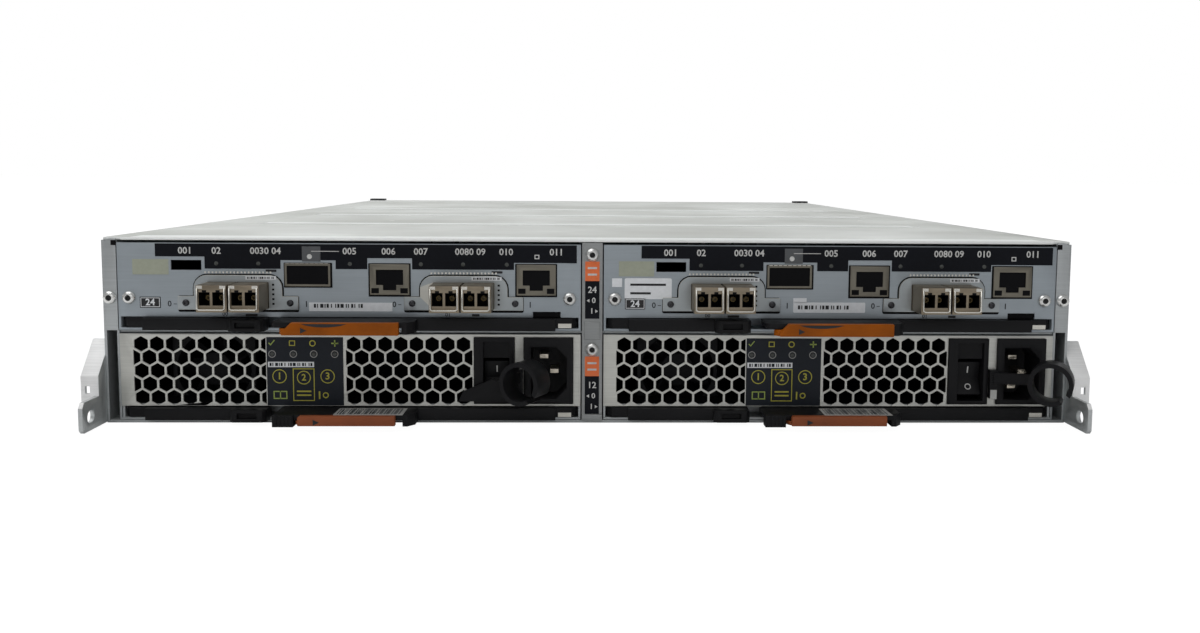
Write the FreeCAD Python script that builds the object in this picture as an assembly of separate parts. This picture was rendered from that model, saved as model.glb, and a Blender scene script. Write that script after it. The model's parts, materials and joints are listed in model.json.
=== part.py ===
import FreeCAD, Part
import math
import os

# A two-unit disk shelf: a sheet-metal chassis with twelve drive carriers at the front (+Y) and, at the
# rear (-Y), two controllers above two power supplies, each held by a pair of swinging levers.
# The rear plane of the chassis is y = 0 while the pieces are built; every piece is moved by
# frame_shift when it is saved, so that the whole shelf stands centred over the origin.

Vector = FreeCAD.Vector

# ---- chassis sizes, mm ----
body_width = 446.0        # outside of the side walls
body_height = 85.5        # underside of the pan to the top of the cover
body_length = 650.0       # rear plane to the front edge of the pan
sheet = 1.2               # chassis sheet
thin_sheet = 1.0          # sheet of the cage and of the plug-in modules
seat_gap = 0.3            # between a plug-in part and what it rests on
side_gap = 0.4            # each side of a plug-in module
rear_flange_width = 6.4   # upright flange on each rear corner of the pan
flange_corner = 4.0       # its rounded top corner
divider_width = 9.6       # centre divider
divider_screw_rise = (33.0, 35.6)   # its screws above the modules' underside and above the shelf
cover_corner_cut = 8.5    # the cover leaves the flange corners free
cover_back = 0.2          # the cover's rear edge behind the flange face

# ---- cover beads ----
bead_rows = (135.0, 264.0, 388.0)   # distance of each bead from the rear
bead_inset = 31.0         # end of each bead from the chassis side
bead_width = 8.0
bead_depth = 0.7

# ---- rack ears and rear brackets ----
ear_reach = 18.3          # the ear plate beyond the side wall, 482.6 over both ears
ear_hole_inset = 8.75     # middle of the rack slots from the ear's outer edge
rack_slot_rise = 44.45    # between the two slots of one ear
rack_slot_radius = 3.4
rack_slot_length = 10.0
ear_thickness = 2.0
ear_side = 1.5            # the ear's leg along the side wall
ear_leg_length = 52.0
ear_bottom = 4.5
ear_top_drop = 4.5        # upper end of the ear plate below the cover's top
ear_tab_width = 13.0      # the tab that folds over the cover
ear_tab_rise = 1.6
ear_tab_length = 12.0
bracket_sheet = 2.0
bracket_flange = 8.0
bracket_reach = 25.0      # how far the lower tab stands behind the rear plane
bracket_step = 8.0        # how far the flange stands behind it
bracket_height = 38.0
bracket_bend = 23.0       # where the slanted edge turns upright
bracket_tab_height = 14.0
bracket_flange_bottom = 9.0
bracket_length = 70.0     # forward leg along the side wall
bracket_slot_length = 7.0
bracket_slot_radius = 2.75
bracket_foot = 0.3        # underside of the tab above the ground
bracket_notch = 3.4       # tie slot in the flange

# ---- front: drive bays, midplane ----
bay_columns = 4
bay_rows = 3
bay_depth = 198.0         # front edge of the pan to the midplane
midplane_thickness = 2.4
carrier_gap = 0.3
carrier_nose = 4.0        # the carrier face stands this far in front of the chassis
carrier_face_depth = 24.0
disk_width = 101.6
disk_length = 147.0
rail_height = 11.0
rail_rise = 3.0
window_left = 14.0        # recess of the carrier face
window_frame = 4.0
window_depth = 3.0
vent_depth = 12.0         # air slot behind the pull lever
grip_height = 7.0
plug_depth = 8.0          # drive connector on the midplane
plug_width = 33.0
plug_height = 7.0
plug_inset = 12.0         # connector from the bay's left wall
plug_rise = 5.0           # connector above the bay's floor
air_window = 40.0         # cut-out of the midplane beside the connectors

# ---- operation panel on one ear ----
panel_depth = 10.0
panel_bottom = 27.0
panel_top = 58.0
panel_rim = 0.6           # the ear stands out beside the housing
button_size = 8.0
button_rise = 8.0         # button's middle above the housing's foot
button_well = 6.0
button_travel = 1.5

# ---- plug-in modules (controllers above, power supplies below) ----
plug_in_gap = 16.0        # rear end of the modules to the midplane
pocket_height = 6.1       # slot for the levers under the module's face
pocket_depth = 13.0
pivot_inset = 6.6         # lever pivot from the module's edge
pivot_depth = 4.3         # lever pivot from the rear plane
pivot_radius = 2.0
pivot_running_gap = 0.06
lever_end_radius = 5.0
left_lever_length = 61.0
right_lever_length = 131.0
lip_thickness = 2.9       # the lever's outer lip
tooth_reach = 6.8         # cam tooth behind the pivot
finger_width = 16.5       # thick end of the short lever
finger_reach = 7.6
handle_reach = 16.5       # the handle plate behind the rear plane
handle_width = 60.0
handle_plate = 2.4
cap_width = 2.2           # end cap beside the latch
latch_length = (43.2, 51.5)   # on the supplies and on the controllers
latch_end = (128.2, 130.2)    # right end of the latch from the module's left edge
latch_chamfer = (0.8, 4.2)    # its cut upper left corner
latch_thickness = 3.2
latch_travel = 4.0
latch_finger = 2.0
supply_grip = 9.3         # ribbed grip at the free end of the supply's long lever

# ---- controller face: distances from the module's left edge and above its underside ----
slot_left, slot_right = 24.2, 38.0        # service slot
slot_rise, slot_height = 27.5, 4.6
lan_left = (114.3, 181.4)                 # two network jacks
lan_width = 18.0
lan_rise, lan_height = 16.4, 14.2
lan_depth = 24.0
lan_proud = 0.6
lan_mouth_width = 12.4
lan_mouth_rise, lan_mouth_height = 21.0, 7.0
lan_mouth_depth = 14.0
lan_latch_width = 6.0
lan_latch_drop = 2.4
sas_left, sas_right = 75.6, 96.4          # expansion port
sas_rise, sas_height = 20.2, 10.5
sas_depth = 26.0
sas_wall = 1.0
sas_mouth_depth = 18.0
adapter_left = (34.5, 137.2)              # two host adapters
adapter_width = 40.0
adapter_rise, adapter_height = 9.4, 15.9
adapter_corner = 6.0
adapter_tab_width = 7.2
adapter_tab_height = 6.2
cage_inset = 5.1
cage_width = 29.6
cage_height = 13.4
cage_depth = 50.0
cage_side = 0.8
cage_floor = 0.6
transceiver_width = 13.4
transceiver_height = 12.0
transceiver_length = 52.0
transceiver_reach = 16.0
transceiver_gap = 0.2     # to the cage's side wall
fibre_mouth = 4.9
fibre_mouth_height = 6.0
fibre_mouth_rise = 3.0
fibre_rib = 1.1           # between the two mouths
fibre_depth = 9.0
bail_reach = 1.4
cut_left, cut_right = 188.8, 201.6        # finger cut-out under the face
cut_rise = 8.8
board_rise = 14.8
board_thickness = 1.6
board_edge = 2.0          # board from the tray's sides
standoff_radius = 3.0
sink_fins = 6
sink_height = 20.0

# ---- power supply face: distances from the module's left edge and above its underside ----
hex_pitch = 7.2
hex_flat = 6.2
hex_rows = 5
hex_rise = 22.7           # middle row
left_grille = (6.0, 66.2)
right_grille = (102.8, 160.9)
switch_left, switch_right = 161.6, 180.3
inlet_left, inlet_right = 184.6, 207.4
entry_rise, entry_height = 7.5, 31.0
entry_depth = 26.0
entry_lip = 1.2
rocker_middle_u = 172.0
rocker_width = 11.4
rocker_half = 8.2
rocker_rise = 18.9
rocker_tilt = 8.0
rocker_depth = 6.0        # rocker pivot from the rear plane
rocker_well = 17.0
inlet_mouth_width = 16.6
inlet_mouth_height = 24.4
inlet_middle_u, inlet_rise = 196.2, 22.0
inlet_chamfer = 5.0
inlet_mouth_depth = 17.0
blade_start = 5.0
blade_width, blade_thickness = 4.0, 2.0
fan_middle_u = 36.0
fan_start = 20.0
fan_depth = 26.0
fan_blades = 7
fan_boss = 6.0            # depth of the bearing boss
hub_radius = 8.0
blade_radius = 16.8
blade_pitch = 34.0        # turn of a blade out of the axis, degrees
shaft_radius = 1.5
shaft_running_gap = 0.05
fan_bore = 17.6
clamp_ring_u = (185.9, 203.9)             # one strap reaches sideways more than the other
clamp_ring_rise = 20.5
clamp_ring_radius = 7.8
clamp_ring_wall = 2.0
clamp_ring_length = 12.0
clamp_ring_turn = 26.0    # degrees between the ring's axis and the rear
clamp_reach = 26.0
clamp_root_u = 182.5
clamp_foot = 3.0          # how far the foot stands behind the rear plane
strap_height = 5.0
strap_thickness = 2.0
tail_outline = ((154.7, 9.3), (157.0, 14.0), (170.4, 19.7), (175.0, 18.0), (184.0, 15.5), (184.0, 10.0),
                (172.7, 9.3))             # the strap's free tail on one supply, leaf-shaped
tail_thickness = 1.2

module_plug_left, module_plug_right = 22.0, 88.0   # the module's plug into the midplane
module_plug_height = 9.0
screw_head_radius = 3.1
screw_head_height = 2.2
face_screw_inset = 5.1
face_screw_rise = 14.8    # captive screw above the controller's underside

# ---- positions that follow from the sizes ----
half_width = body_width / 2
wall_inside = half_width - sheet
cover_under = body_height - sheet
cheek_inside = half_width - rear_flange_width
cheek_outside = cheek_inside + sheet
half_divider = divider_width / 2
module_width = cheek_inside - half_divider - 2 * side_gap - 0.1
module_left = (-cheek_inside + side_gap, cheek_inside - side_gap - module_width)
supply_bottom = sheet + seat_gap
shelf_under = (body_height - sheet) / 2 - 0.45
shelf_top = shelf_under + sheet
controller_bottom = shelf_top + seat_gap
supply_height = shelf_under - seat_gap - supply_bottom
controller_height = cover_under - sheet - controller_bottom
flange_bottom = shelf_top
midplane_y = body_length - bay_depth
module_length = midplane_y - plug_in_gap
midplane_front = midplane_y + midplane_thickness
cage_back = midplane_front + seat_gap
bay_floor = sheet
bay_ceiling = cover_under - sheet
bay_width = (2 * wall_inside - (bay_columns + 1) * thin_sheet) / bay_columns
bay_height = (bay_ceiling - bay_floor - (bay_rows - 1) * thin_sheet) / bay_rows
ear_middle = body_height / 2
ear_top = body_height - ear_top_drop
rack_width = body_width + 2 * ear_reach
rack_hole_spacing = rack_width - 2 * ear_hole_inset
bead_half_length = half_width - bead_inset
face_screw_height = controller_bottom + face_screw_rise
plug_face = midplane_y - plug_depth - seat_gap    # how far the modules' plugs reach
slot_low, slot_high = controller_bottom + slot_rise, controller_bottom + slot_rise + slot_height
lan_low, lan_high = controller_bottom + lan_rise, controller_bottom + lan_rise + lan_height
lan_mouth_low = controller_bottom + lan_mouth_rise
lan_mouth_high = lan_mouth_low + lan_mouth_height
sas_low, sas_high = controller_bottom + sas_rise, controller_bottom + sas_rise + sas_height
adapter_low = controller_bottom + adapter_rise
adapter_high = adapter_low + adapter_height
transceiver_low = adapter_low + cage_floor + 0.1
cut_high = controller_bottom + cut_rise
board_low = controller_bottom + board_rise
hex_middle = supply_bottom + hex_rise
entry_low, entry_high = supply_bottom + entry_rise, supply_bottom + entry_rise + entry_height
rocker_middle = supply_bottom + rocker_rise
inlet_middle_z = supply_bottom + inlet_rise
clamp_ring_z = supply_bottom + clamp_ring_rise
rear_most = -max(bracket_reach, clamp_reach)
front_most = body_length + panel_depth + button_travel
frame_shift = -(rear_most + front_most) / 2


# ---- shape helpers ----
def block(x0, x1, y0, y1, z0, z1):
    return Part.makeBox(x1 - x0, y1 - y0, z1 - z0, Vector(x0, y0, z0))


def prism(points, axis, start, end):
    """Straight prism over a polygon: axis x takes (y, z) points, y takes (x, z), z takes (x, y)."""
    place = {
        "x": lambda a, b: Vector(start, a, b),
        "y": lambda a, b: Vector(a, start, b),
        "z": lambda a, b: Vector(a, b, start),
    }[axis]
    along = {"x": Vector(1, 0, 0), "y": Vector(0, 1, 0), "z": Vector(0, 0, 1)}[axis]
    loop = [place(a, b) for a, b in points]
    face = Part.Face(Part.makePolygon(loop + [loop[0]]))
    return face.extrude(along * (end - start))


def rod(radius, start, end):
    """Round bar from one point to another."""
    span = end - start
    return Part.makeCylinder(radius, span.Length, start, span)


def rounded(shape, radius, picks):
    """Round the straight edges whose midpoint passes the test."""
    edges = [edge for edge in shape.Edges if picks(edge)]
    return shape.makeFillet(radius, edges)


def runs_along(edge, axis):
    first, last = edge.Vertexes[0].Point, edge.Vertexes[-1].Point
    step = last - first
    length = step.Length
    if length < 1e-6:
        return False
    return abs(abs(getattr(step, axis)) - length) < 1e-6


def slotted_hole(middle, length, radius, along, through, depth):
    """Long round-ended hole: along is its long direction, through its axis."""
    half = along * (length / 2 - radius)
    start = middle - through * (depth / 2)
    ends = [rod(radius, start + side, start + side + through * depth) for side in (half, half * -1)]
    corners = []
    across = along.cross(through) * radius
    for side_long, side_across in ((1, 1), (1, -1), (-1, -1), (-1, 1)):
        corners.append(start + half * side_long + across * side_across)
    slab = Part.Face(Part.makePolygon(corners + [corners[0]])).extrude(through * depth)
    return ends[0].fuse([ends[1], slab]).removeSplitter()


def join(pieces):
    return pieces[0].fuse(pieces[1:]).removeSplitter()


def mirror_x(shape):
    return shape.mirror(Vector(0, 0, 0), Vector(1, 0, 0))


def bevelled(u0, u1, v0, v1, bevel):
    """Outline of a rectangle with its four corners cut off at 45 degrees."""
    return [(u0 + bevel, v0), (u1 - bevel, v0), (u1, v0 + bevel), (u1, v1 - bevel),
            (u1 - bevel, v1), (u0 + bevel, v1), (u0, v1 - bevel), (u0, v0 + bevel)]


def screw_head(axis, u, v, seat, side):
    """Eight-sided screw head on a sheet: axis x or y, (u, v) across it, seat on it, side +1 or -1."""
    radius = screw_head_radius
    outline = bevelled(u - radius, u + radius, v - radius, v + radius, radius * (2 - math.sqrt(2)))
    return prism(outline, axis, seat, seat + side * screw_head_height)


def save(name, shape):
    moved = shape.copy()
    moved.translate(Vector(0, frame_shift, 0))
    moved.exportStep("parts/" + name + ".step")


# ---- chassis ----
def make_chassis_shell():
    """Pan with two side walls, a narrow top flange on each and an upright flange at each rear corner."""
    pan = block(-half_width, half_width, 0, body_length, 0, sheet)
    pieces = [pan]
    for side in (-1, 1):
        outer = side * half_width
        wall = block(min(outer, outer - side * sheet), max(outer, outer - side * sheet),
                     0, body_length, 0, cover_under)
        top = block(min(outer, side * cheek_outside), max(outer, side * cheek_outside),
                    sheet, body_length, cover_under - sheet, cover_under)
        flange = block(min(outer, side * cheek_inside), max(outer, side * cheek_inside),
                       0, sheet, flange_bottom, body_height - 0.6)
        flange = rounded(flange, flange_corner, lambda edge: runs_along(edge, "y")
                         and abs(edge.CenterOfMass.x - outer) < 0.01
                         and edge.CenterOfMass.z > flange_bottom + 5)
        pieces += [wall, top, flange]
    return join(pieces)


def make_top_cover():
    """Flat cover with three pressed-in stiffening beads and notched rear corners."""
    edge = half_width - cover_back
    cover = block(-edge, edge, cover_back, body_length, cover_under, body_height)
    for side in (-1, 1):
        corner = side * (half_width - cover_corner_cut)
        cover = cover.cut(block(min(corner, side * half_width), max(corner, side * half_width),
                                0, sheet + side_gap, cover_under - 1, body_height + 1))
    cover = rounded(cover, sheet * 0.6, lambda item: runs_along(item, "x")
                    and item.CenterOfMass.y < sheet * 0.9 and item.CenterOfMass.z > body_height - 0.01)
    for row in bead_rows:
        under = block(-bead_half_length - thin_sheet, bead_half_length + thin_sheet,
                      row - bead_width / 2 - thin_sheet, row + bead_width / 2 + thin_sheet,
                      cover_under - bead_depth, cover_under)
        groove = prism(bevelled(-bead_half_length, bead_half_length, row - bead_width / 2,
                                row + bead_width / 2, bead_width / 3),
                       "z", body_height - bead_depth, body_height + 1)
        cover = cover.fuse(under).cut(groove)
    return cover.removeSplitter()


def make_drive_cage():
    """Upright partitions and two tiers of shelves that divide the front into twelve bays."""
    pieces = []
    for column in range(bay_columns + 1):
        x = -wall_inside + column * (bay_width + thin_sheet)
        pieces.append(block(x, x + thin_sheet, cage_back, body_length, bay_floor, bay_ceiling))
    for row in range(1, bay_rows):
        z = bay_floor + row * (bay_height + thin_sheet) - thin_sheet
        pieces.append(block(-wall_inside, wall_inside, cage_back, body_length, z, z + thin_sheet))
    return join(pieces)


def bay_corner(index):
    """Lower left rear corner of a bay, counted along each row from the left, bottom row first."""
    column, row = index % bay_columns, index // bay_columns
    x = -wall_inside + thin_sheet + column * (bay_width + thin_sheet)
    z = bay_floor + row * (bay_height + thin_sheet)
    return x, z


def make_midplane():
    """Board across the middle of the shelf with a socket for every drive and module."""
    board = block(-wall_inside + seat_gap, wall_inside - seat_gap, midplane_y, midplane_front,
                  supply_bottom, cover_under - sheet - seat_gap)
    pieces = [board]
    vents = []
    for index in range(bay_columns * bay_rows):
        x, z = bay_corner(index)
        pieces.append(block(x + plug_inset, x + plug_inset + plug_width, midplane_front,
                            midplane_front + plug_depth, z + plug_rise, z + plug_rise + plug_height))
        if index < bay_columns:
            far = x + bay_width - plug_inset
            vents.append(block(far - air_window, far, midplane_y - 1, midplane_front + 1,
                               z + plug_rise, bay_ceiling - plug_rise))
    for left in module_left:
        for z in (supply_bottom + module_plug_height, board_low + board_thickness):
            pieces.append(block(left + module_plug_left - 2, left + module_plug_right + 2,
                                midplane_y - plug_depth, midplane_y, z, z + module_plug_height))
    board = join(pieces)
    return board.cut(vents)


def make_module_shelf():
    """Middle shelf with an upright cheek at each side that guides the plug-in modules."""
    shelf = block(-cheek_outside, cheek_outside, 2 * sheet, module_length, shelf_under, shelf_top)
    pieces = [shelf]
    for side in (-1, 1):
        near, far = side * cheek_inside, side * cheek_outside
        pieces.append(block(min(near, far), max(near, far), sheet, module_length, sheet, cover_under))
    return join(pieces)


def make_center_divider():
    """Upright channel between the left and right modules, with a stepped joint at the shelf."""
    face = block(-half_divider, half_divider, 0, sheet, sheet, cover_under - seat_gap)
    pieces = [face]
    for low, high in ((sheet, shelf_under), (shelf_top, cover_under - sheet)):
        for side in (-1, 1):
            near, far = side * half_divider, side * (half_divider - thin_sheet)
            pieces.append(block(min(near, far), max(near, far), sheet * 0.5, module_length, low, high))
    pieces.append(block(-half_divider + 1.2, half_divider - 1.2, -0.8, 0.4,
                        shelf_under - 2.5, shelf_top + 4.5))
    pieces.append(block(-half_divider, half_divider, -2.0, 0.4, sheet, sheet + 3.0))
    return join(pieces)


def make_rear_brackets():
    """Pair of cable brackets: a side leg, a slanted outward flange and a slotted tab at the foot."""
    low = bracket_foot
    leg = prism([(bracket_length, 1), (bracket_length, bracket_height), (bracket_step - 2, bracket_height),
                 (-bracket_step, bracket_bend), (-bracket_step, bracket_tab_height),
                 (2 - bracket_reach, bracket_tab_height), (-bracket_reach, bracket_tab_height - 2.5),
                 (-bracket_reach, low + 1.5), (1.5 - bracket_reach, low), (6, low), (12, 1)],
                "x", half_width, half_width + bracket_sheet)
    slope = math.atan2(bracket_height - bracket_bend, 2 * bracket_step - 2)
    dy, dz = bracket_sheet * math.sin(slope), bracket_sheet * math.cos(slope)
    flange = prism([(bracket_step - 2, bracket_height), (-bracket_step, bracket_bend),
                    (-bracket_step, bracket_flange_bottom),
                    (bracket_sheet - bracket_step, bracket_flange_bottom),
                    (bracket_sheet - bracket_step, bracket_bend - dz * 0.3),
                    (bracket_step - 2 + dy, bracket_height - dz * 0.35),
                    (bracket_step - 2 + dy, bracket_height)],
                   "x", half_width, half_width + bracket_flange)
    bracket = join([leg, flange])
    slot = slotted_hole(Vector(half_width + 1, -bracket_reach + 8.5, 6.4), bracket_slot_length,
                        bracket_slot_radius, Vector(0, 1, 0), Vector(1, 0, 0), 8)
    notch_side = half_width + bracket_flange / 2
    notch = block(notch_side, notch_side + bracket_notch * 0.6, -bracket_step - 1,
                  bracket_sheet - bracket_step + 0.5, bracket_tab_height + 1,
                  bracket_tab_height + 1 + bracket_notch)
    right = bracket.cut([slot, notch])
    return Part.makeCompound([mirror_x(right), right])


def make_rack_ear(side):
    """Rack ear: slotted front plate, leg along the side wall, tab folded over the cover's front corner."""
    outer = rack_width / 2
    plate = prism([(half_width, ear_bottom), (outer - 3, ear_bottom), (outer, ear_bottom + 3),
                   (outer, ear_top - 3), (outer - 3, ear_top), (half_width, ear_top)],
                  "y", body_length - ear_thickness, body_length)
    leg = block(half_width, half_width + ear_side, body_length - ear_leg_length, body_length,
                ear_bottom, ear_top)
    rise = block(half_width, half_width + ear_side, body_length - ear_tab_length, body_length,
                 ear_top - 1, body_height + ear_tab_rise)
    tab = block(half_width - ear_tab_width, half_width + ear_side, body_length - ear_tab_length, body_length,
                body_height, body_height + ear_tab_rise)
    ear = join([plate, leg, rise, tab])
    for step in (-0.5, 0.5):
        middle = Vector(rack_hole_spacing / 2, body_length - ear_thickness / 2,
                        ear_middle + step * rack_slot_rise)
        ear = ear.cut(slotted_hole(middle, rack_slot_length, rack_slot_radius,
                                   Vector(1, 0, 0), Vector(0, 1, 0), 3 * ear_thickness))
    return ear if side > 0 else mirror_x(ear)


def panel_centre():
    return -(half_width + ear_side + rack_width / 2) / 2


def button_block(gap, y0, y1):
    """Upright square bar on the button's axis, larger than the button by gap on each side."""
    half = button_size / 2 + gap
    x, z = panel_centre(), panel_bottom + button_rise
    return block(x - half, x + half, y0, y1, z - half, z + half)


def make_operation_panel():
    """Small housing on the front of one ear with the well of the power button."""
    left, right = -rack_width / 2 + panel_rim, -half_width - ear_side
    front = body_length + panel_depth
    housing = block(left, right, body_length, front, panel_bottom, panel_top)
    return housing.cut(button_block(side_gap, front - button_well, front + 1))


def make_power_button():
    front = body_length + panel_depth
    return button_block(0, front - button_well + button_travel + seat_gap, front + button_travel)


def make_chassis_screws():
    """Screws of the rear flanges, the divider, the brackets and the ears."""
    flange_middle = half_width - rear_flange_width / 2
    screws = []
    for x, z in ((-flange_middle, face_screw_height), (flange_middle, face_screw_height),
                 (0, supply_bottom + divider_screw_rise[0]), (0, shelf_top + divider_screw_rise[1])):
        screws.append(screw_head("y", x, z, 0, -1))
    for side in (-1, 1):
        for z in (ear_bottom + 12, ear_top - 12):
            screws.append(screw_head("x", body_length - ear_leg_length + 12, z,
                                     side * (half_width + ear_side), side))
        screws.append(screw_head("x", bracket_length - 14, bracket_height * 0.7,
                                 side * (half_width + bracket_sheet), side))
    return Part.makeCompound(screws)


# ---- drive carriers ----
def make_drive():
    """Disk drive on its carrier: two rails and a vented face with a raised pull lever."""
    width = bay_width - 2 * carrier_gap
    height = bay_height - 2 * carrier_gap
    back = midplane_front + plug_depth + seat_gap
    face_front = body_length + carrier_nose
    face_back = face_front - carrier_face_depth
    inset = (width - disk_width) / 2
    disk = block(inset, width - inset, back, back + disk_length, 0, height)
    rails = block(0.6, width - 0.6, back + plug_depth, face_back, rail_rise, rail_rise + rail_height)
    pieces = [disk, rails]
    face = block(0, width, face_back, face_front, 0, height)
    window = block(window_left, width - window_frame, face_front - window_depth, face_front + 1,
                   window_frame, height - window_frame)
    face = face.cut(window)
    vent = block(window_left + 3, width - window_frame - 3, face_front - vent_depth, face_front,
                 window_frame + 1.6, height - window_frame - 1.6)
    face = face.cut(vent)
    middle = height / 2
    grip = block(window_left, width - window_frame, face_front - window_depth, face_front - 0.5,
                 middle - grip_height / 2, middle + grip_height / 2)
    return join(pieces + [face, grip])


# ---- module levers and latches ----
def lever_arm(points, length, bottom):
    """Flat arm with a cam tooth behind the pivot at the origin and an outer lip, pointing along +X."""
    low, high = bottom + thin_sheet + seat_gap, bottom + pocket_height - seat_gap
    end = lever_end_radius
    arm = prism([(-end, -end / 2), (-end / 2, -end), *points, (1.4, tooth_reach), (-1.4, tooth_reach),
                 (-end * 0.8, end * 0.6), (-end, end / 2)], "z", low, high)
    inner = -pivot_depth - seat_gap
    lip = block(lever_end_radius, length, inner - lip_thickness, inner, bottom + 0.2, high)
    return [arm, lip]


def bored(shape, bottom):
    hole = rod(pivot_radius + pivot_running_gap, Vector(0, 0, bottom), Vector(0, 0, bottom + pocket_height))
    return shape.cut(hole)


def make_left_lever(left, bottom):
    """Short lever, pivoted at the module's left corner, with a thick finger end."""
    inner = -pivot_depth - seat_gap
    high = bottom + pocket_height - seat_gap
    length = left_lever_length
    outline = [(length, inner), (length, inner + 3), (length * 0.65, 3.2), (2.8, 4.2)]
    pieces = lever_arm(outline, length, bottom)
    reach = inner - finger_reach
    root = length - finger_width
    finger = prism([(root, inner), (root, reach + 1.5), (root + 1.5, reach), (length - 1.5, reach),
                    (length, reach + 1.5), (length, inner)], "z", bottom + 0.2, high)
    scoop = block(root + 3.5, length - 4, reach - 1, reach + 2.6, bottom + 1.8, high - 1.4)
    lever = bored(join(pieces + [finger]).cut(scoop), bottom)
    lever.translate(Vector(left + pivot_inset, pivot_depth, 0))
    return lever


def make_right_lever(left, bottom, grip):
    """Long lever, pivoted at the module's right corner, with a flat handle plate and a grip block."""
    inner = -pivot_depth - seat_gap
    high = bottom + pocket_height - seat_gap
    length = right_lever_length
    handle_start = length - handle_width
    outline = [(handle_start + 2, inner), (handle_start + 2, 3.4), (2.8, 4.2)]
    pieces = lever_arm(outline, handle_start, bottom)
    reach = -pivot_depth - handle_reach
    plate = prism([(handle_start, 3.4), (length - 6, -1.0), (length, -3.0), (length, reach + 1.5),
                   (length - 1.5, reach), (handle_start, reach)], "z", high - handle_plate, high)
    cap = prism([(handle_start - 3, inner), (handle_start - 3, reach + 4), (handle_start, reach),
                 (handle_start + cap_width, reach), (handle_start + cap_width, inner)],
                "z", bottom + 0.4, high)
    pieces += [plate, cap]
    if grip:
        pieces.append(block(length - grip, length, reach - 1.5, reach + 5, bottom + 0.4, high))
    lever = mirror_x(bored(join(pieces), bottom))
    lever.translate(Vector(left + module_width - pivot_inset, pivot_depth, 0))
    return lever


def make_latch(left, bottom, kind, low, high):
    """Sliding latch along the edge of the handle plate: an outer wall on a tongue under the plate."""
    right = left + latch_end[kind]
    start = right - latch_length[kind]
    cap_left = left + module_width - pivot_inset - (right_lever_length - handle_width) - cap_width
    stop = min(right, cap_left - seat_gap - latch_travel)
    outer = -handle_reach - seat_gap
    plate_under = pocket_height - seat_gap - handle_plate - seat_gap
    cut = latch_chamfer[kind]
    wall = prism([(start, bottom + low), (right, bottom + low), (right, bottom + high),
                  (start + cut, bottom + high), (start, bottom + high - min(cut, high - low - 1))],
                 "y", outer - latch_thickness, outer)
    tongue = prism([(start - latch_finger, outer + 1.5), (start - 0.5, outer - 1), (stop, outer - 1),
                    (stop, outer + 6), (start - 0.5, outer + 6)], "z", bottom + low, bottom + plate_under)
    return join([wall, tongue])


def lever_pocket(left, bottom):
    """Floor edge, roof and back wall of the slot that holds the levers, with their two pivot pins."""
    right = left + module_width
    roof = block(left, right, 0, pocket_depth + thin_sheet, bottom + pocket_height,
                 bottom + pocket_height + thin_sheet)
    back = block(left, right, pocket_depth, pocket_depth + thin_sheet,
                 bottom, bottom + pocket_height + thin_sheet)
    pieces = [roof, back]
    for x in (left + pivot_inset, right - pivot_inset):
        pieces.append(rod(pivot_radius, Vector(x, pivot_depth, bottom),
                          Vector(x, pivot_depth, bottom + pocket_height + 0.5)))
    return pieces


# ---- controllers ----
def make_controller_tray(left):
    """Folded tray with the rear face, its port cut-outs, the lever slot and board standoffs."""
    bottom = controller_bottom
    right = left + module_width
    top = bottom + controller_height
    base = block(left, right, 0, module_length, bottom, bottom + thin_sheet)
    pieces = [base]
    for x in (left, right - thin_sheet):
        pieces.append(block(x, x + thin_sheet, 0, module_length, bottom, top))
    face = block(left, right, 0, thin_sheet, bottom + pocket_height, top)
    lid_edge = block(left, right, 0, 10, top - thin_sheet, top)
    pieces += [face, lid_edge] + lever_pocket(left, bottom)
    for x in (left + 20, right - 20):
        for y in (70, module_length - 40):
            corners = [(x + standoff_radius * math.cos(math.radians(60 * side)),
                        y + standoff_radius * math.sin(math.radians(60 * side))) for side in range(6)]
            pieces.append(prism(corners, "z", bottom + thin_sheet / 2, board_low))
    tray = join(pieces)
    cuts = [block(left + slot_left, left + slot_right, -1, 5, slot_low, slot_high)]
    for u in lan_left:
        cuts.append(block(left + u - side_gap, left + u + lan_width + side_gap, -1, 5,
                          lan_low - side_gap, lan_high + side_gap))
    cuts.append(block(left + sas_left - side_gap, left + sas_right + side_gap, -1, 5,
                      sas_low - side_gap, sas_high + side_gap))
    for u in adapter_left:
        cuts.append(block(left + u + cage_inset - side_gap, left + u + cage_inset + cage_width + side_gap,
                          -1, 5, adapter_low - side_gap, adapter_low + cage_height + side_gap))
    cuts.append(block(left + cut_left, left + cut_right, -1, 4, bottom + pocket_height - 1, cut_high))
    return tray.cut(cuts)


def make_controller_board(left):
    """Main board with the processor's heat sink, two memory modules and the midplane plug."""
    board_top = board_low + board_thickness
    board = block(left + board_edge, left + module_width - board_edge, board_edge, module_length,
                  board_low, board_top)
    cuts = []
    for u in adapter_left:
        cuts.append(block(left + u + cage_inset - 2, left + u + cage_inset + cage_width + 2, 0,
                          cage_depth + 4, board_low - 1, board_top + 1))
    board = board.cut(cuts)
    sink_left, sink_width, fin = left + 60, 80, 2.4
    fin_step = (sink_width - fin) / (sink_fins - 1)
    pieces = [board, block(sink_left, sink_left + sink_width, 150, 240, board_top, board_top + 5)]
    for index in range(sink_fins):
        x = sink_left + index * fin_step
        pieces.append(block(x, x + fin, 150, 240, board_top, board_top + sink_height))
    for y in (280, 294):
        pieces.append(block(left + 50, left + 183, y, y + 5, board_top, board_top + sink_height - 2))
    near, far = left + module_plug_left, left + module_plug_right
    tongue = block(near, far, module_length - 4, plug_face, board_low, board_top)
    plug = block(near, far, plug_face - 9, plug_face, board_top, board_top + module_plug_height)
    return join(pieces + [plug, tongue])


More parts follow.
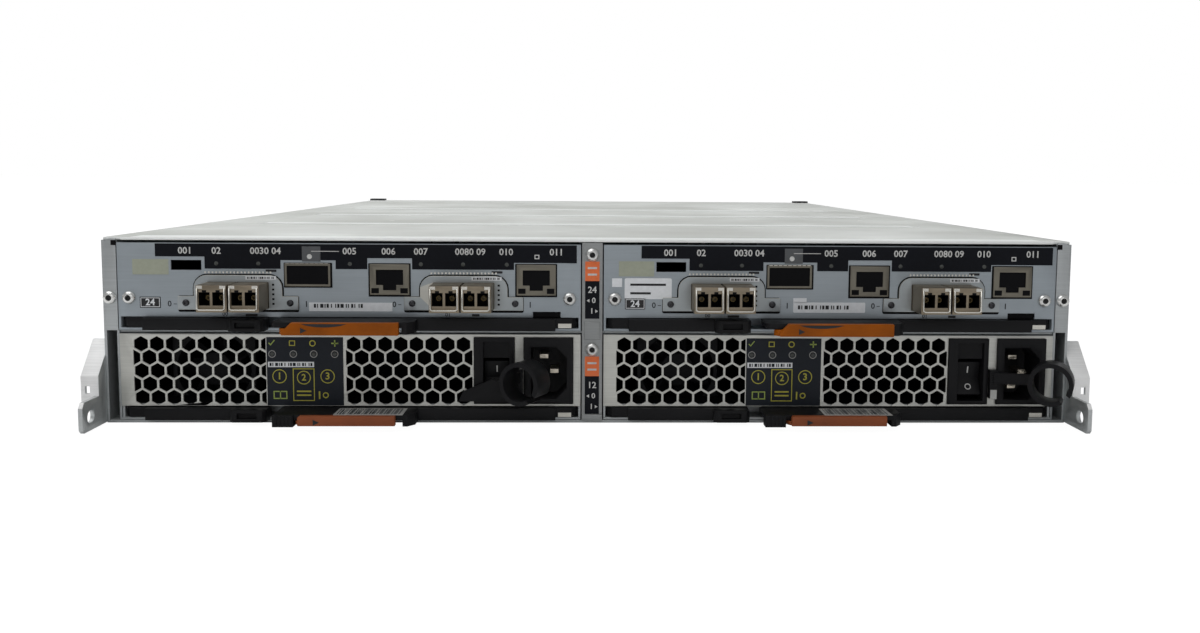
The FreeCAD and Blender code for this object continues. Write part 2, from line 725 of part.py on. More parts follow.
def make_controller_ports(left):
    """Two shielded network jacks and the expansion port."""
    solids = []
    for u in lan_left:
        shell = block(left + u, left + u + lan_width, -lan_proud, lan_depth, lan_low, lan_high)
        middle = left + u + lan_width / 2
        mouth = block(middle - lan_mouth_width / 2, middle + lan_mouth_width / 2, -1, lan_mouth_depth,
                      lan_mouth_low, lan_mouth_high)
        latch = block(middle - lan_latch_width / 2, middle + lan_latch_width / 2, -1, lan_mouth_depth - 4,
                      lan_mouth_low - lan_latch_drop, lan_mouth_low + 1)
        solids.append(shell.cut([mouth, latch]))
    near, far = left + sas_left, left + sas_right
    shell = block(near, far, -lan_proud, sas_depth, sas_low, sas_high)
    mouth = block(near + sas_wall, far - sas_wall, -2, sas_mouth_depth,
                  sas_low + sas_wall, sas_high - sas_wall)
    foot = block(near + 2, far - 2, 4, sas_depth, board_low + board_thickness, sas_low + 0.2)
    middle = (sas_low + sas_high) / 2
    key = block(near + 3, far - 3, sas_mouth_depth - 6, sas_mouth_depth + 0.5, middle - 1.6, middle + 1.6)
    solids.append(join([shell.cut(mouth), foot, key]))
    return Part.makeCompound(solids)


def make_controller_adapters(left):
    """Two host adapter plates with screw tabs, each with a cage for a pair of transceivers."""
    solids = []
    for u in adapter_left:
        x = left + u
        plate = block(x, x + adapter_width, -thin_sheet, 0, adapter_low, adapter_high)
        plate = rounded(plate, adapter_corner,
                        lambda edge: runs_along(edge, "y") and edge.CenterOfMass.z > adapter_high - 1)
        tabs = block(x - adapter_tab_width, x + adapter_width + adapter_tab_width, -thin_sheet, 0,
                     adapter_low, adapter_low + adapter_tab_height)
        cage = block(x + cage_inset, x + cage_inset + cage_width, -thin_sheet, cage_depth,
                     adapter_low, adapter_low + cage_height)
        hollow = block(x + cage_inset + cage_side, x + cage_inset + cage_width - cage_side,
                       -2, cage_depth + 1,
                       adapter_low + cage_floor, adapter_low + cage_height - cage_floor)
        solids.append(join([plate, tabs, cage]).cut(hollow))
    return Part.makeCompound(solids)


def transceiver_spots(left):
    """Left edges of the four transceivers, a pair in each cage."""
    spots = []
    for u in adapter_left:
        inner = cage_side + transceiver_gap
        first = left + u + cage_inset + inner
        spots += [first, first + cage_width - 2 * inner - transceiver_width]
    return spots


def make_transceivers(left):
    """Pluggable transceivers with two square fibre mouths and a folded wire bail."""
    low = transceiver_low
    front = -transceiver_reach
    solids = []
    for x in transceiver_spots(left):
        body = block(x, x + transceiver_width, front, front + transceiver_length,
                     low, low + transceiver_height)
        middle = x + transceiver_width / 2
        mouths = []
        for side in (-1, 1):
            centre = middle + side * (fibre_mouth + fibre_rib) / 2
            mouths.append(block(centre - fibre_mouth / 2, centre + fibre_mouth / 2,
                                front - 1, front + fibre_depth,
                                low + fibre_mouth_rise, low + fibre_mouth_rise + fibre_mouth_height))
        bail_bar = block(x + 1.2, x + transceiver_width - 1.2, front - bail_reach, front + 0.2,
                         low + 0.6, low + 1.7)
        solids.append(join([body.cut(mouths), bail_bar]))
    return Part.makeCompound(solids)


def make_controller_screws(left):
    """Captive screws at the two ends of the face."""
    ends = (left + face_screw_inset, left + module_width - face_screw_inset)
    return Part.makeCompound([screw_head("y", x, face_screw_height, 0, -1) for x in ends])


# ---- power supplies ----
def make_supply_case(left):
    """Folded case of the supply: floor, sides, roof, lever slot, front wall, fan frame."""
    bottom = supply_bottom
    right = left + module_width
    top = bottom + supply_height
    outside = block(left, right, thin_sheet, module_length, bottom, top)
    inside = block(left + thin_sheet, right - thin_sheet, 0, module_length - thin_sheet,
                   bottom + thin_sheet, top - thin_sheet)
    floor = block(left, right, 0, thin_sheet + 1, bottom, bottom + thin_sheet)
    plug = block(left + module_plug_left, left + module_plug_right, module_length - 1, plug_face,
                 bottom + module_plug_height, bottom + 2 * module_plug_height)
    case = join([outside.cut(inside), floor, plug] + lever_pocket(left, bottom))
    mouth = block(left - 1, right + 1, -1, thin_sheet, bottom + pocket_height, top + 1)
    case = case.cut(mouth)
    middle = Vector(left + fan_middle_u, fan_start, (bottom + top) / 2)
    half = supply_height / 2 - 0.5
    frame = block(middle.x - half, middle.x + half, fan_start, fan_start + fan_depth,
                  middle.z - half, middle.z + half)
    back = Vector(0, 1, 0)
    bore = rod(fan_bore, middle - back, middle + back * (fan_depth + 1))
    boss_start = fan_start + fan_depth - fan_boss
    boss = block(middle.x - hub_radius, middle.x + hub_radius, boss_start, fan_start + fan_depth,
                 middle.z - hub_radius, middle.z + hub_radius)
    strut = block(middle.x - fan_bore - 1, middle.x + fan_bore + 1, boss_start + 2, fan_start + fan_depth,
                  middle.z - 1.5, middle.z + 1.5)
    shaft_hole = rod(shaft_radius + shaft_running_gap, Vector(middle.x, boss_start - 1, middle.z),
                     middle + back * (fan_depth - 1))
    fan = join([frame.cut(bore), boss, strut]).cut(shaft_hole)
    return join([case, fan])


def hexagon(x, z, y0, y1):
    radius = hex_flat / 2 / math.cos(math.pi / 6)
    points = []
    for corner in range(6):
        angle = math.radians(30 + 60 * corner)
        points.append((x + radius * math.cos(angle), z + radius * math.sin(angle)))
    return prism(points, "y", y0, y1)


def hexagon_field(left, span):
    """Hexagonal holes in staggered rows, cut off straight at the ends of the field."""
    low, high = left + span[0], left + span[1]
    row_rise = hex_pitch * math.cos(math.pi / 6)
    window = block(low, high, -1, 2 * thin_sheet, 0, body_height)
    holes = []
    for row in range(hex_rows):
        z = hex_middle + (row - (hex_rows - 1) / 2) * row_rise
        offset = hex_pitch / 2 if row % 2 == 0 else 0.0
        count = int((high - low) / hex_pitch) + 3
        for column in range(-1, count):
            x = low + offset + column * hex_pitch
            if x + hex_flat / 2 <= low + 1.0 or x - hex_flat / 2 >= high - 1.0:
                continue
            hole = hexagon(x, z, -1, 2 * thin_sheet)
            if x - hex_flat / 2 < low or x + hex_flat / 2 > high:
                hole = hole.common(window)
            holes.append(hole)
    return holes


def make_supply_grille(left):
    """Rear face of the supply: two fields of hexagonal holes and the openings of switch and inlet."""
    bottom = supply_bottom
    right = left + module_width
    face = block(left, right, 0, thin_sheet, bottom + pocket_height + 0.2, bottom + supply_height)
    cuts = []
    for a, b in ((switch_left, switch_right), (inlet_left, inlet_right)):
        cuts.append(block(left + a - 0.1, left + b + 0.1, -1, 3, entry_low - 0.1, entry_high + 0.1))
    for span in (left_grille, right_grille):
        cuts += hexagon_field(left, span)
    return face.cut(cuts)


def make_power_entry(left):
    """Moulded power entry: rocker well and mains inlet with its three blades, on one back body."""
    back = block(left + switch_left, left + inlet_right, thin_sheet, entry_depth, entry_low + 0.3, entry_high)
    frames = [block(left + a, left + b, -entry_lip, thin_sheet + 0.5, entry_low, entry_high)
              for a, b in ((switch_left, switch_right), (inlet_left, inlet_right))]
    body = join([back] + frames)
    middle = left + rocker_middle_u
    well = block(middle - rocker_width / 2 - side_gap, middle + rocker_width / 2 + side_gap, -3, rocker_well,
                 rocker_middle - rocker_half - 1.6, rocker_middle + rocker_half + 1.6)
    shade = block(middle - rocker_width / 2 - side_gap, middle + rocker_width / 2 + side_gap, -3, 1.5,
                  rocker_middle + rocker_half, entry_high - 2)
    half_w, half_h = inlet_mouth_width / 2, inlet_mouth_height / 2
    cu, cz = left + inlet_middle_u, inlet_middle_z
    mouth = prism([(cu - half_w, cz - half_h), (cu + half_w - inlet_chamfer, cz - half_h),
                   (cu + half_w, cz - half_h + inlet_chamfer), (cu + half_w, cz + half_h - inlet_chamfer),
                   (cu + half_w - inlet_chamfer, cz + half_h), (cu - half_w, cz + half_h)],
                  "y", -3, inlet_mouth_depth)
    body = body.cut([well, shade, mouth])
    blades = []
    for u, z in ((-2.4, 7.0), (-2.4, -7.0), (2.4, 0.0)):
        x0, z0 = cu + u - blade_width / 2, cz + z - blade_thickness / 2
        blades.append(block(x0, x0 + blade_width, blade_start, inlet_mouth_depth + 1,
                            z0, z0 + blade_thickness))
    return join([body] + blades)


def make_rocker(left):
    """Rocker switch cap with a bent face, resting on its lower half."""
    middle = left + rocker_middle_u
    half = rocker_half
    profile = [(8, -half + 2.5), (-1.6, -half), (-3.4, -half + 0.6), (-0.8, 0), (-3.4, half - 0.6),
               (-1.6, half), (8, half - 2.5)]
    points = [(rocker_depth - 1.0 + y, rocker_middle + z) for y, z in profile]
    cap = prism(points, "x", middle - rocker_width / 2, middle + rocker_width / 2)
    cap.rotate(Vector(middle, rocker_depth, rocker_middle), Vector(1, 0, 0), -rocker_tilt)
    return cap


def make_rotor(left):
    """Fan rotor: cup hub, seven pitched blades and the shaft."""
    middle = Vector(left + fan_middle_u, fan_start, supply_bottom + supply_height / 2)
    back = Vector(0, 1, 0)
    hub_end = fan_depth - fan_boss - seat_gap
    turn = 2 * math.pi / (2 * fan_blades)
    rim = [(middle.x + hub_radius * math.sin((side + 0.5) * turn),
            middle.z + hub_radius * math.cos((side + 0.5) * turn))
           for side in range(2 * fan_blades)]
    pieces = [prism(rim, "y", fan_start + 1, fan_start + hub_end),
              rod(shaft_radius, middle + back * (hub_end - 1), middle + back * (fan_depth - 2))]
    for index in range(fan_blades):
        blade = block(-0.6, 0.6, 2.5, 17.5, hub_radius - 1.5, blade_radius)
        blade.rotate(Vector(0, 10, 0), Vector(0, 0, 1), blade_pitch)
        blade.rotate(Vector(0, 0, 0), Vector(0, 1, 0), 360.0 / fan_blades * index)
        blade.translate(middle)
        pieces.append(blade)
    return join(pieces)


def make_cord_clamp(left, ring_u, with_tail):
    """Plug clamp: a strap from the face to an open ring, turned outwards, that grips the mains plug."""
    outer = clamp_ring_radius + clamp_ring_wall
    turn = math.radians(clamp_ring_turn)
    half = clamp_ring_length / 2
    middle = Vector(left + ring_u, half * math.cos(turn) + outer * math.sin(turn) - clamp_reach, clamp_ring_z)
    ring = rod(outer, Vector(0, -half, 0), Vector(0, half, 0))
    bore = rod(clamp_ring_radius, Vector(0, -half - 1, 0), Vector(0, half + 1, 0))
    gap = block(0, outer + 1, -half - 1, half + 1, -2, 2)
    gap.rotate(Vector(0, 0, 0), Vector(0, 1, 0), 45)
    ring = ring.cut([bore, gap])
    ring.rotate(Vector(0, 0, 0), Vector(0, 0, 1), -clamp_ring_turn)
    ring.translate(middle)
    root = Vector(left + clamp_root_u, 0.4 - clamp_foot, 0)
    wall = clamp_ring_radius + clamp_ring_wall / 2
    grip = half - 1
    end = Vector(middle.x - wall * math.cos(turn) + grip * math.sin(turn),
                 middle.y + wall * math.sin(turn) + grip * math.cos(turn), 0)
    side = (end - root).normalize().cross(Vector(0, 0, 1)) * (strap_thickness / 2)
    corners = [root - side, root + side, end + side, end - side]
    low, high = clamp_ring_z - strap_height / 2, clamp_ring_z + strap_height / 2
    strap = prism([(corner.x, corner.y) for corner in corners], "z", low, high)
    foot = block(left + switch_right + 0.3, left + inlet_left - 0.3, -clamp_foot, 0,
                 clamp_ring_z - outer, high + 1)
    pieces = [strap, foot, ring]
    if with_tail:
        points = [(left + u, supply_bottom + rise) for u, rise in tail_outline]
        pieces.append(prism(points, "y", -clamp_foot - tail_thickness + 0.2, 0.2 - clamp_foot))
    return join(pieces)


# ---- build every piece ----
os.makedirs("parts", exist_ok=True)

save("chassis_shell", make_chassis_shell())
save("top_cover", make_top_cover())
save("drive_cage", make_drive_cage())
save("midplane_board", make_midplane())
save("module_shelf", make_module_shelf())
save("center_divider", make_center_divider())
save("rear_brackets", make_rear_brackets())
save("rack_ear_left", make_rack_ear(-1))
save("rack_ear_right", make_rack_ear(1))
save("operation_panel", make_operation_panel())
save("power_button", make_power_button())
save("chassis_screws", make_chassis_screws())

drive = make_drive()
for index in range(bay_columns * bay_rows):
    x, z = bay_corner(index)
    carrier = drive.copy()
    carrier.translate(Vector(x + carrier_gap, 0, z + carrier_gap))
    save("drive_%02d" % (index + 1), carrier)

for letter, left in zip("ab", module_left):
    unit = "controller_" + letter
    save(unit + "_tray", make_controller_tray(left))
    save(unit + "_board", make_controller_board(left))
    save(unit + "_ports", make_controller_ports(left))
    save(unit + "_adapters", make_controller_adapters(left))
    save(unit + "_transceivers", make_transceivers(left))
    save(unit + "_screws", make_controller_screws(left))
    save(unit + "_lever_left", make_left_lever(left, controller_bottom))
    save(unit + "_lever_right", make_right_lever(left, controller_bottom, 0))
    save(unit + "_latch", make_latch(left, controller_bottom, 1, 0.4, 6.0))

for letter, left, ring_u in zip("ab", module_left, clamp_ring_u):
    unit = "supply_" + letter
    save(unit + "_case", make_supply_case(left))
    save(unit + "_grille", make_supply_grille(left))
    save(unit + "_power_entry", make_power_entry(left))
    save(unit + "_rocker", make_rocker(left))
    save(unit + "_rotor", make_rotor(left))
    save(unit + "_cord_clamp", make_cord_clamp(left, ring_u, letter == "a"))
    save(unit + "_lever_left", make_left_lever(left, supply_bottom))
    save(unit + "_lever_right", make_right_lever(left, supply_bottom, supply_grip))
    save(unit + "_latch", make_latch(left, supply_bottom, 0, 1.3, 5.8))
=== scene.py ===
import json
import random
from math import cos, pi, radians, sin

import bmesh
import bpy
from mathutils import Euler, Matrix, Vector


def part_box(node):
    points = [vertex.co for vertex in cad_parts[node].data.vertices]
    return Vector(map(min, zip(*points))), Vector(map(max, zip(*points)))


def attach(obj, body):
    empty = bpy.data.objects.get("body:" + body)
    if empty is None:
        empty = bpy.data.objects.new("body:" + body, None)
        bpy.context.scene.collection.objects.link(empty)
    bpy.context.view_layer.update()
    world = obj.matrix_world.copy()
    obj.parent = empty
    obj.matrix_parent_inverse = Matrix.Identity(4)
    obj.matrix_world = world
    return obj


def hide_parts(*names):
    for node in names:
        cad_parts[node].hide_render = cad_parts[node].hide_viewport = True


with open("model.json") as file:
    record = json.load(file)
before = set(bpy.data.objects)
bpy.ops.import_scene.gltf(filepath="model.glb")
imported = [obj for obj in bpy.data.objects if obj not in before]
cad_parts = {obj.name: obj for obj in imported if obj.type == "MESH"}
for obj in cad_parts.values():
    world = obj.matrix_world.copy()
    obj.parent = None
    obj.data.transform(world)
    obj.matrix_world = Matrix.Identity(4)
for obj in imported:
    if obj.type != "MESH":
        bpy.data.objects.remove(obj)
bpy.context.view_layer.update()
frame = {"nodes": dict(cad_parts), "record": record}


# ---- Studio ----
# A white floor and a white surround, a broad lamp above the rear of the shelf, a wide one beyond its
# front and a weak one behind the camera, which stands half a metre behind the shelf above its cover.
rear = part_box("controller_a_tray")[0].y


def feed(tree, socket, value):
    """Give a socket a plain value, or link it to another node's output."""
    if isinstance(value, bpy.types.NodeSocket):
        tree.links.new(value, socket)
    else:
        socket.default_value = value


def fed(tree, node, **feeds):
    """Feed inputs of a node, or of a new one of a given type; an underscore stands for a space."""
    if isinstance(node, str):
        node = tree.nodes.new(node)
    for label, value in feeds.items():
        feed(tree, node.inputs[label.replace("_", " ")], value)
    return node


def math_node(tree, operation, first, second):
    node = tree.nodes.new("ShaderNodeMath")
    node.operation = operation
    feed(tree, node.inputs[0], first)
    feed(tree, node.inputs[1], second)
    return node.outputs[0]


def mixed_in(tree, factor, first, second, output):
    """Mix two shaders by a factor and lead the result to an output node."""
    choose = tree.nodes.new("ShaderNodeMixShader")
    for source, socket in zip((factor, first.outputs[0], second.outputs[0]), choose.inputs):
        tree.links.new(source, socket)
    fed(tree, tree.nodes[output], Surface=choose.outputs[0])


world = bpy.data.worlds.new("studio")
bpy.context.scene.world = world
world.use_nodes = True
tree = world.node_tree
lit = fed(tree, tree.nodes["Background"], Color=(0.97, 0.98, 1.0, 1), Strength=0.34)
seen = fed(tree, "ShaderNodeBackground", Color=(1, 1, 1, 1), Strength=1.0)
to_camera = tree.nodes.new("ShaderNodeLightPath").outputs["Is Camera Ray"]
mixed_in(tree, to_camera, lit, seen, "World Output")

floor_finish = bpy.data.materials.new("white_floor")
floor_finish.use_nodes = True
tree = floor_finish.node_tree
cloth = fed(tree, tree.nodes["Principled BSDF"], Base_Color=(0.92, 0.92, 0.92, 1), Roughness=0.9,
            Specular_IOR_Level=0.1)
glow = fed(tree, "ShaderNodeEmission", Strength=1.13)
to_camera = tree.nodes.new("ShaderNodeLightPath").outputs["Is Camera Ray"]
mixed_in(tree, math_node(tree, "MULTIPLY", to_camera, 0.86), cloth, glow, "Material Output")

mesh = bpy.data.meshes.new("floor")
reach = 12.0
drop = -0.0004
floor_corners = [(-reach, -reach, drop), (reach, -reach, drop), (reach, reach, drop), (-reach, reach, drop)]
mesh.from_pydata(floor_corners, [], [(0, 1, 2, 3)])
mesh.materials.append(floor_finish)


def linked(name, data):
    """New object in the scene, at the origin."""
    thing = bpy.data.objects.new(name, data)
    bpy.context.scene.collection.objects.link(thing)
    return thing


linked("floor", mesh)


def lamp(name, place, aim, width, height, watts):
    """Rectangular lamp that faces the point it is aimed at."""
    light = bpy.data.lights.new(name, "AREA")
    light.shape = "RECTANGLE"
    light.size = width
    light.size_y = height
    light.energy = watts
    holder = linked(name, light)
    holder.location = place
    holder.rotation_euler = (Vector(aim) - Vector(place)).to_track_quat("-Z", "Y").to_euler()


lamp("overhead", (-0.55, rear + 0.05, 1.2), (-0.1, rear + 0.2, 0.08), 1.7, 1.0, 9)
lamp("rear_fill", (0.3, rear - 1.6, 0.7), (0, rear, 0.04), 1.4, 0.9, 2)
lamp("front_fill", (0.2, 1.9, 1.1), (0, 0.3, 0.05), 3.4, 1.1, 15)

camera = bpy.data.cameras.new("camera")
camera.sensor_width = 36.0
camera.lens = 33.60
camera.shift_x = -0.01778
camera.shift_y = -0.0335
eye = linked("camera", camera)
eye.location = (-0.00204, rear - 0.5141, 0.11697)
eye.rotation_euler = (Euler((radians(90 - 5.368), 0, radians(-1.715))).to_matrix()
                      @ Matrix.Rotation(radians(0.402), 3, "Z")).to_euler()
bpy.context.scene.camera = eye
bpy.context.scene.view_settings.view_transform = "Standard"


# ---- Chassis pan ----
# Folded zinc-plated sheet: floor, side walls and the two narrow flanges at the rear corners. Its cut
# edges are broken by tumbling, so each one carries a fine bright line.
mm = 0.001
seam = 0.002 * mm
flat_angle, edge_angle, crease_angle = 2, 34, 38    # degrees
body_of = {node: body for body, names in frame["record"]["behaviour"]["bodies"].items() for node in names}


def noise_node(group, vector, scale, detail):
    return fed(group, "ShaderNodeTexNoise", Vector=vector, Scale=scale, Detail=detail).outputs["Fac"]


def spread(group, value, low, high):
    """Stretch the middle of a noise over low to high."""
    ends = {"From_Min": 0.3, "From_Max": 0.7, "To_Min": low, "To_Max": high}
    return fed(group, "ShaderNodeMapRange", Value=value, **ends).outputs[0]


def swing(group, value, amount):
    """Spread a noise from one less the amount to one more."""
    least = math_node(group, "SUBTRACT", 1.0, amount)
    return spread(group, value, least, math_node(group, "ADD", 1.0, amount))


def tinted(group, given, level):
    """The given colour, lightened or darkened by a level."""
    tint = group.nodes.new("ShaderNodeVectorMath")
    tint.operation = "SCALE"
    return fed(group, tint, Vector=given.outputs["Colour"], Scale=level).outputs[0]


def surface_group(name, *own):
    """Shader group: a colour, a roughness and its own numbers in; colour, roughness and height out."""
    group = bpy.data.node_groups.new(name, "ShaderNodeTree")
    for way, *labels in (("INPUT", "Colour", *own, "Roughness"),
                         ("OUTPUT", "Colour", "Roughness", "Height")):
        for label in labels:
            kind = "NodeSocketColor" if label == "Colour" else "NodeSocketFloat"
            group.interface.new_socket(label, in_out=way, socket_type=kind)
    place = group.nodes.new("ShaderNodeTexCoord").outputs["Object"]
    return group, group.nodes.new("NodeGroupInput"), place


def make_sheet_surface():
    """Rolled, plated sheet: rolling streaks along X, cloudy plating, handling smudges and settled dust."""
    group, given, place = surface_group("sheet_surface", "Streaks", "Clouds", "Dust")
    turn = fed(group, "ShaderNodeMapping", Scale=(0.03, 1.0, 1.0), Vector=place)
    streak = noise_node(group, turn.outputs[0], 1500.0, 2.0)
    cloud = noise_node(group, place, 34.0, 4.0)
    smudge = noise_node(group, place, 11.0, 3.0)
    grain = noise_node(group, place, 900.0, 2.0)
    lines = swing(group, streak, given.outputs["Streaks"])
    level = math_node(group, "MULTIPLY", lines, swing(group, cloud, given.outputs["Clouds"]))
    facing = group.nodes.new("ShaderNodeNewGeometry").outputs["Normal"]
    split = fed(group, "ShaderNodeSeparateXYZ", Vector=facing)
    lying = math_node(group, "MAXIMUM", split.outputs["Z"], 0.0)
    patches = spread(group, smudge, 0.3, 1.0)
    dust = math_node(group, "MULTIPLY", math_node(group, "MULTIPLY", lying, patches), given.outputs["Dust"])
    mix = group.nodes.new("ShaderNodeMix")
    mix.data_type = "RGBA"
    fed(group, mix, Factor=dust, A=tinted(group, given, level), B=(0.6, 0.58, 0.53, 1))
    rub = spread(group, smudge, -0.06, 0.1)
    rough = math_node(group, "ADD", math_node(group, "ADD", given.outputs["Roughness"], rub), dust)
    rolled = math_node(group, "MULTIPLY", streak, 0.7)
    height = math_node(group, "ADD", rolled, math_node(group, "MULTIPLY", grain, 0.3))
    fed(group, "NodeGroupOutput", Colour=mix.outputs["Result"], Roughness=rough, Height=height)
    return group


sheet_surface = make_sheet_surface()


def finish_from(name, group, colour, roughness, metal, depth, specular=0.5, **own):
    """Material that takes colour, roughness and height from a surface group with its own numbers."""
    finish = bpy.data.materials.new(name)
    finish.use_nodes = True
    finish.diffuse_color = (*colour, 1)
    tree = finish.node_tree
    surface = tree.nodes.new("ShaderNodeGroup")
    surface.node_tree = group
    out = fed(tree, surface, Colour=(*colour, 1), Roughness=roughness, **own).outputs
    bump = fed(tree, "ShaderNodeBump", Distance=depth, Strength=0.35, Height=out["Height"])
    fed(tree, tree.nodes["Principled BSDF"], Metallic=metal, Specular_IOR_Level=specular,
        Base_Color=out["Colour"], Roughness=out["Roughness"], Normal=bump.outputs[0])
    return finish


def sheet_metal(name, colour, roughness, metal=0.75, streaks=0.05, clouds=0.06, dust=0.12):
    own = {"Streaks": streaks, "Clouds": clouds, "Dust": dust}
    return finish_from(name, sheet_surface, colour, roughness, metal, 0.06 * mm, **own)


def evaluated(piece):
    """Plain mesh of an object as its modifiers or its curve leave it."""
    picture = piece.evaluated_get(bpy.context.evaluated_depsgraph_get())
    return bpy.data.meshes.new_from_object(picture)


def mesh_of(work, name, corner=(0, 0, 0)):
    """Plain mesh from finished edit data, moved to a corner."""
    mesh = bpy.data.meshes.new(name)
    work.to_mesh(mesh)
    work.free()
    mesh.transform(Matrix.Translation(corner))
    return mesh


def welded(node):
    """Edit data of a plain solid, its seams closed."""
    work = bmesh.new()
    work.from_mesh(frame["nodes"][node].data)
    bmesh.ops.remove_doubles(work, verts=work.verts, dist=seam)
    return work


def belongs(piece, node):
    """Let a piece ride with a node."""
    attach(piece, body_of[node])


def formed(node, edge, *finishes, part_of=None):
    """Take a plain solid's place with a copy whose edges are rounded."""
    work = welded(node)
    bmesh.ops.dissolve_limit(work, angle_limit=radians(flat_angle), verts=work.verts, edges=work.edges)
    mesh = mesh_of(work, node + "_formed")
    for finish in finishes:
        mesh.materials.append(finish)
    piece = linked(node + "_formed", mesh)
    bevel = piece.modifiers.new("edges", "BEVEL")
    bevel.width = edge
    bevel.segments = 2
    bevel.limit_method = "ANGLE"
    bevel.angle_limit = radians(edge_angle)
    mesh = evaluated(piece)
    piece.modifiers.clear()
    piece.data = mesh
    mesh.shade_smooth()
    mesh.set_sharp_from_angle(angle=radians(crease_angle))
    if part_of:
        for face in mesh.polygons:
            face.material_index = part_of(face)
    belongs(piece, node)
    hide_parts(node)


zinc = sheet_metal("zinc_sheet_finish", (0.45, 0.47, 0.475), 0.42)
formed("chassis_shell", 0.25 * mm, zinc)


# ---- Top cover ----
# One satin sheet with three pressed stiffening beads, a rounded rear fold and small bright discs where
# it is spot-welded to the rails under it.
cover_sheet = sheet_metal("cover_sheet_finish", (0.58, 0.605, 0.58), 0.36, metal=0.7, clouds=0.05, dust=0.3)
# Near-white finish for painted highlights: the bead flanks, the rear fold and flat bands behind the beads.
bead_painted_highlight = finish_from("bead_painted_highlight_finish", sheet_surface, (0.88, 0.90, 0.88), 0.7, 0.0, 0.02 * mm, 0.05,
                         Streaks=0.02, Clouds=0.04, Dust=0.0)
cover_low, cover_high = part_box("top_cover")
cover_top = cover_high.z
bead_depth = 3.2 * mm


def put(name, mesh, node, *finishes, slot=None):
    """Stand a finished mesh in the scene and let it ride with a node."""
    piece = linked(name, mesh)
    for finish in finishes:
        mesh.materials.append(finish)
    belongs(piece, node)


def is_painted_highlight_face(face):
    """The pressed flanks of the beads and the rounded rear edge carry a painted highlight."""
    return 1 if abs(face.normal.y) > 0.12 and face.center.z > cover_top - bead_depth else 0


formed("top_cover", 0.3 * mm, cover_sheet, bead_painted_highlight, part_of=is_painted_highlight_face)
# Flat near-white bands along the rear edge and just behind each bead are painted highlights.
bands = bmesh.new()
for start, depth, inset in ((0.8, 16, 12), (139.5, 13, 33), (268.5, 13, 33), (392.5, 13, 33)):
    middle = Vector((0, rear + (start + depth / 2) * mm, cover_top + 0.02 * mm))
    corners = bmesh.ops.create_grid(bands, x_segments=1, y_segments=1, size=0.5)["verts"]
    bmesh.ops.scale(bands, vec=(cover_high.x - cover_low.x - 2 * inset * mm, depth * mm, 1), verts=corners)
    bmesh.ops.translate(bands, vec=middle, verts=corners)
put("burnished_bands", mesh_of(bands, "burnished_bands"), "top_cover", bead_painted_highlight)
weld_mark = sheet_metal("weld_mark_finish", (0.85, 0.85, 0.82), 0.3, metal=0.8, dust=0.0)
weld_places = ((-123, 181, 1.6), (176, 339, 1.6), (177, 220, 1.6), (-60, 300, 1.2))
for number, (x, y, radius) in enumerate(weld_places):
    dimple = bmesh.new()
    bmesh.ops.create_circle(dimple, cap_ends=True, segments=20, radius=radius * mm,
                            matrix=Matrix.Translation((x * mm, rear + y * mm, cover_top + 0.03 * mm)))
    put("weld_mark_%d" % number, mesh_of(dimple, "weld_mark"), "top_cover", weld_mark)


# ---- Shelf, divider and rear brackets ----
# The shelf, the drive cage and the divider are folded zinc-plated sheet. The divider is a narrow
# channel between the modules with two coloured labels on its face. The brackets are thicker plated
# steel, screwed to the outside of the side walls.
divider_zinc = sheet_metal("divider_finish", (0.32, 0.33, 0.33), 0.42)
bracket_zinc = sheet_metal("bracket_finish", (0.58, 0.60, 0.60), 0.38, clouds=0.12)
# Near-white finish for the painted highlight on the brackets' upward rear faces.
bracket_painted_highlight = sheet_metal("bracket_painted_highlight_finish", (0.92, 0.92, 0.91), 0.5, 0.15, clouds=0.12, dust=0.0)


def dress(node, finish):
    """Give a plain solid its finish."""
    solid = frame["nodes"][node]
    if not solid.data.materials:
        solid.data.materials.append(finish)
    solid.material_slots[0].material = finish


def is_lit_face_of_bracket(face):
    """Faces turned to the rear and upwards carry a painted highlight."""
    return 1 if face.normal.y < -0.3 and face.center.z > 12 * mm else 0


formed("module_shelf", 0.2 * mm, zinc)
formed("center_divider", 0.2 * mm, divider_zinc)
formed("rear_brackets", 0.45 * mm, bracket_zinc, bracket_painted_highlight, part_of=is_lit_face_of_bracket)
dress("drive_cage", zinc)

film_depth = 0.15 * mm
ink_depth = 0.06 * mm


def curve_mesh(curve):
    """Plain mesh of a curve or of text."""
    holder = linked("outline", curve)
    mesh = evaluated(holder)
    bpy.data.objects.remove(holder)
    mesh.materials.clear()
    return mesh


def laid_flat(curve, depth):
    """Mesh of a flat curve or of text, stood upright so that its front faces -Y."""
    curve.extrude = depth / 2
    mesh = curve_mesh(curve)
    mesh.transform(Matrix.Rotation(pi / 2, 4, "X") @ Matrix.Translation((0, 0, depth / 2)))
    return mesh


def add_line(curve, places):
    """Straight-sided line through the given places."""
    line = curve.splines.new("POLY")
    line.points.add(len(places) - 1)
    for point, place in zip(line.points, places):
        point.co = (*place, 1)
    return line


def flat_cut(loops, depth=ink_depth):
    """Flat plate from an outline and its holes, in (x, z), facing -Y with its back on y = 0."""
    curve = bpy.data.curves.new("outline", "CURVE")
    curve.dimensions = "2D"
    curve.fill_mode = "BOTH"
    for loop in loops:
        add_line(curve, [(x, z, 0) for x, z in loop]).use_cyclic_u = True
    return laid_flat(curve, depth)


def numeral(text, size):
    """Printed numeral of a height in millimetres, centred on x = 0, z = 0."""
    height = size * mm
    curve = bpy.data.curves.new("numeral", "FONT")
    curve.body = text
    curve.size = height / 0.7
    curve.align_x = "CENTER"
    curve.align_y = "CENTER"
    curve.offset = height * 0.025
    curve.resolution_u = 2
    return laid_flat(curve, ink_depth)


def scaled(points):
    """Outline in millimetres brought to metres."""
    return [(x * mm, z * mm) for x, z in points]


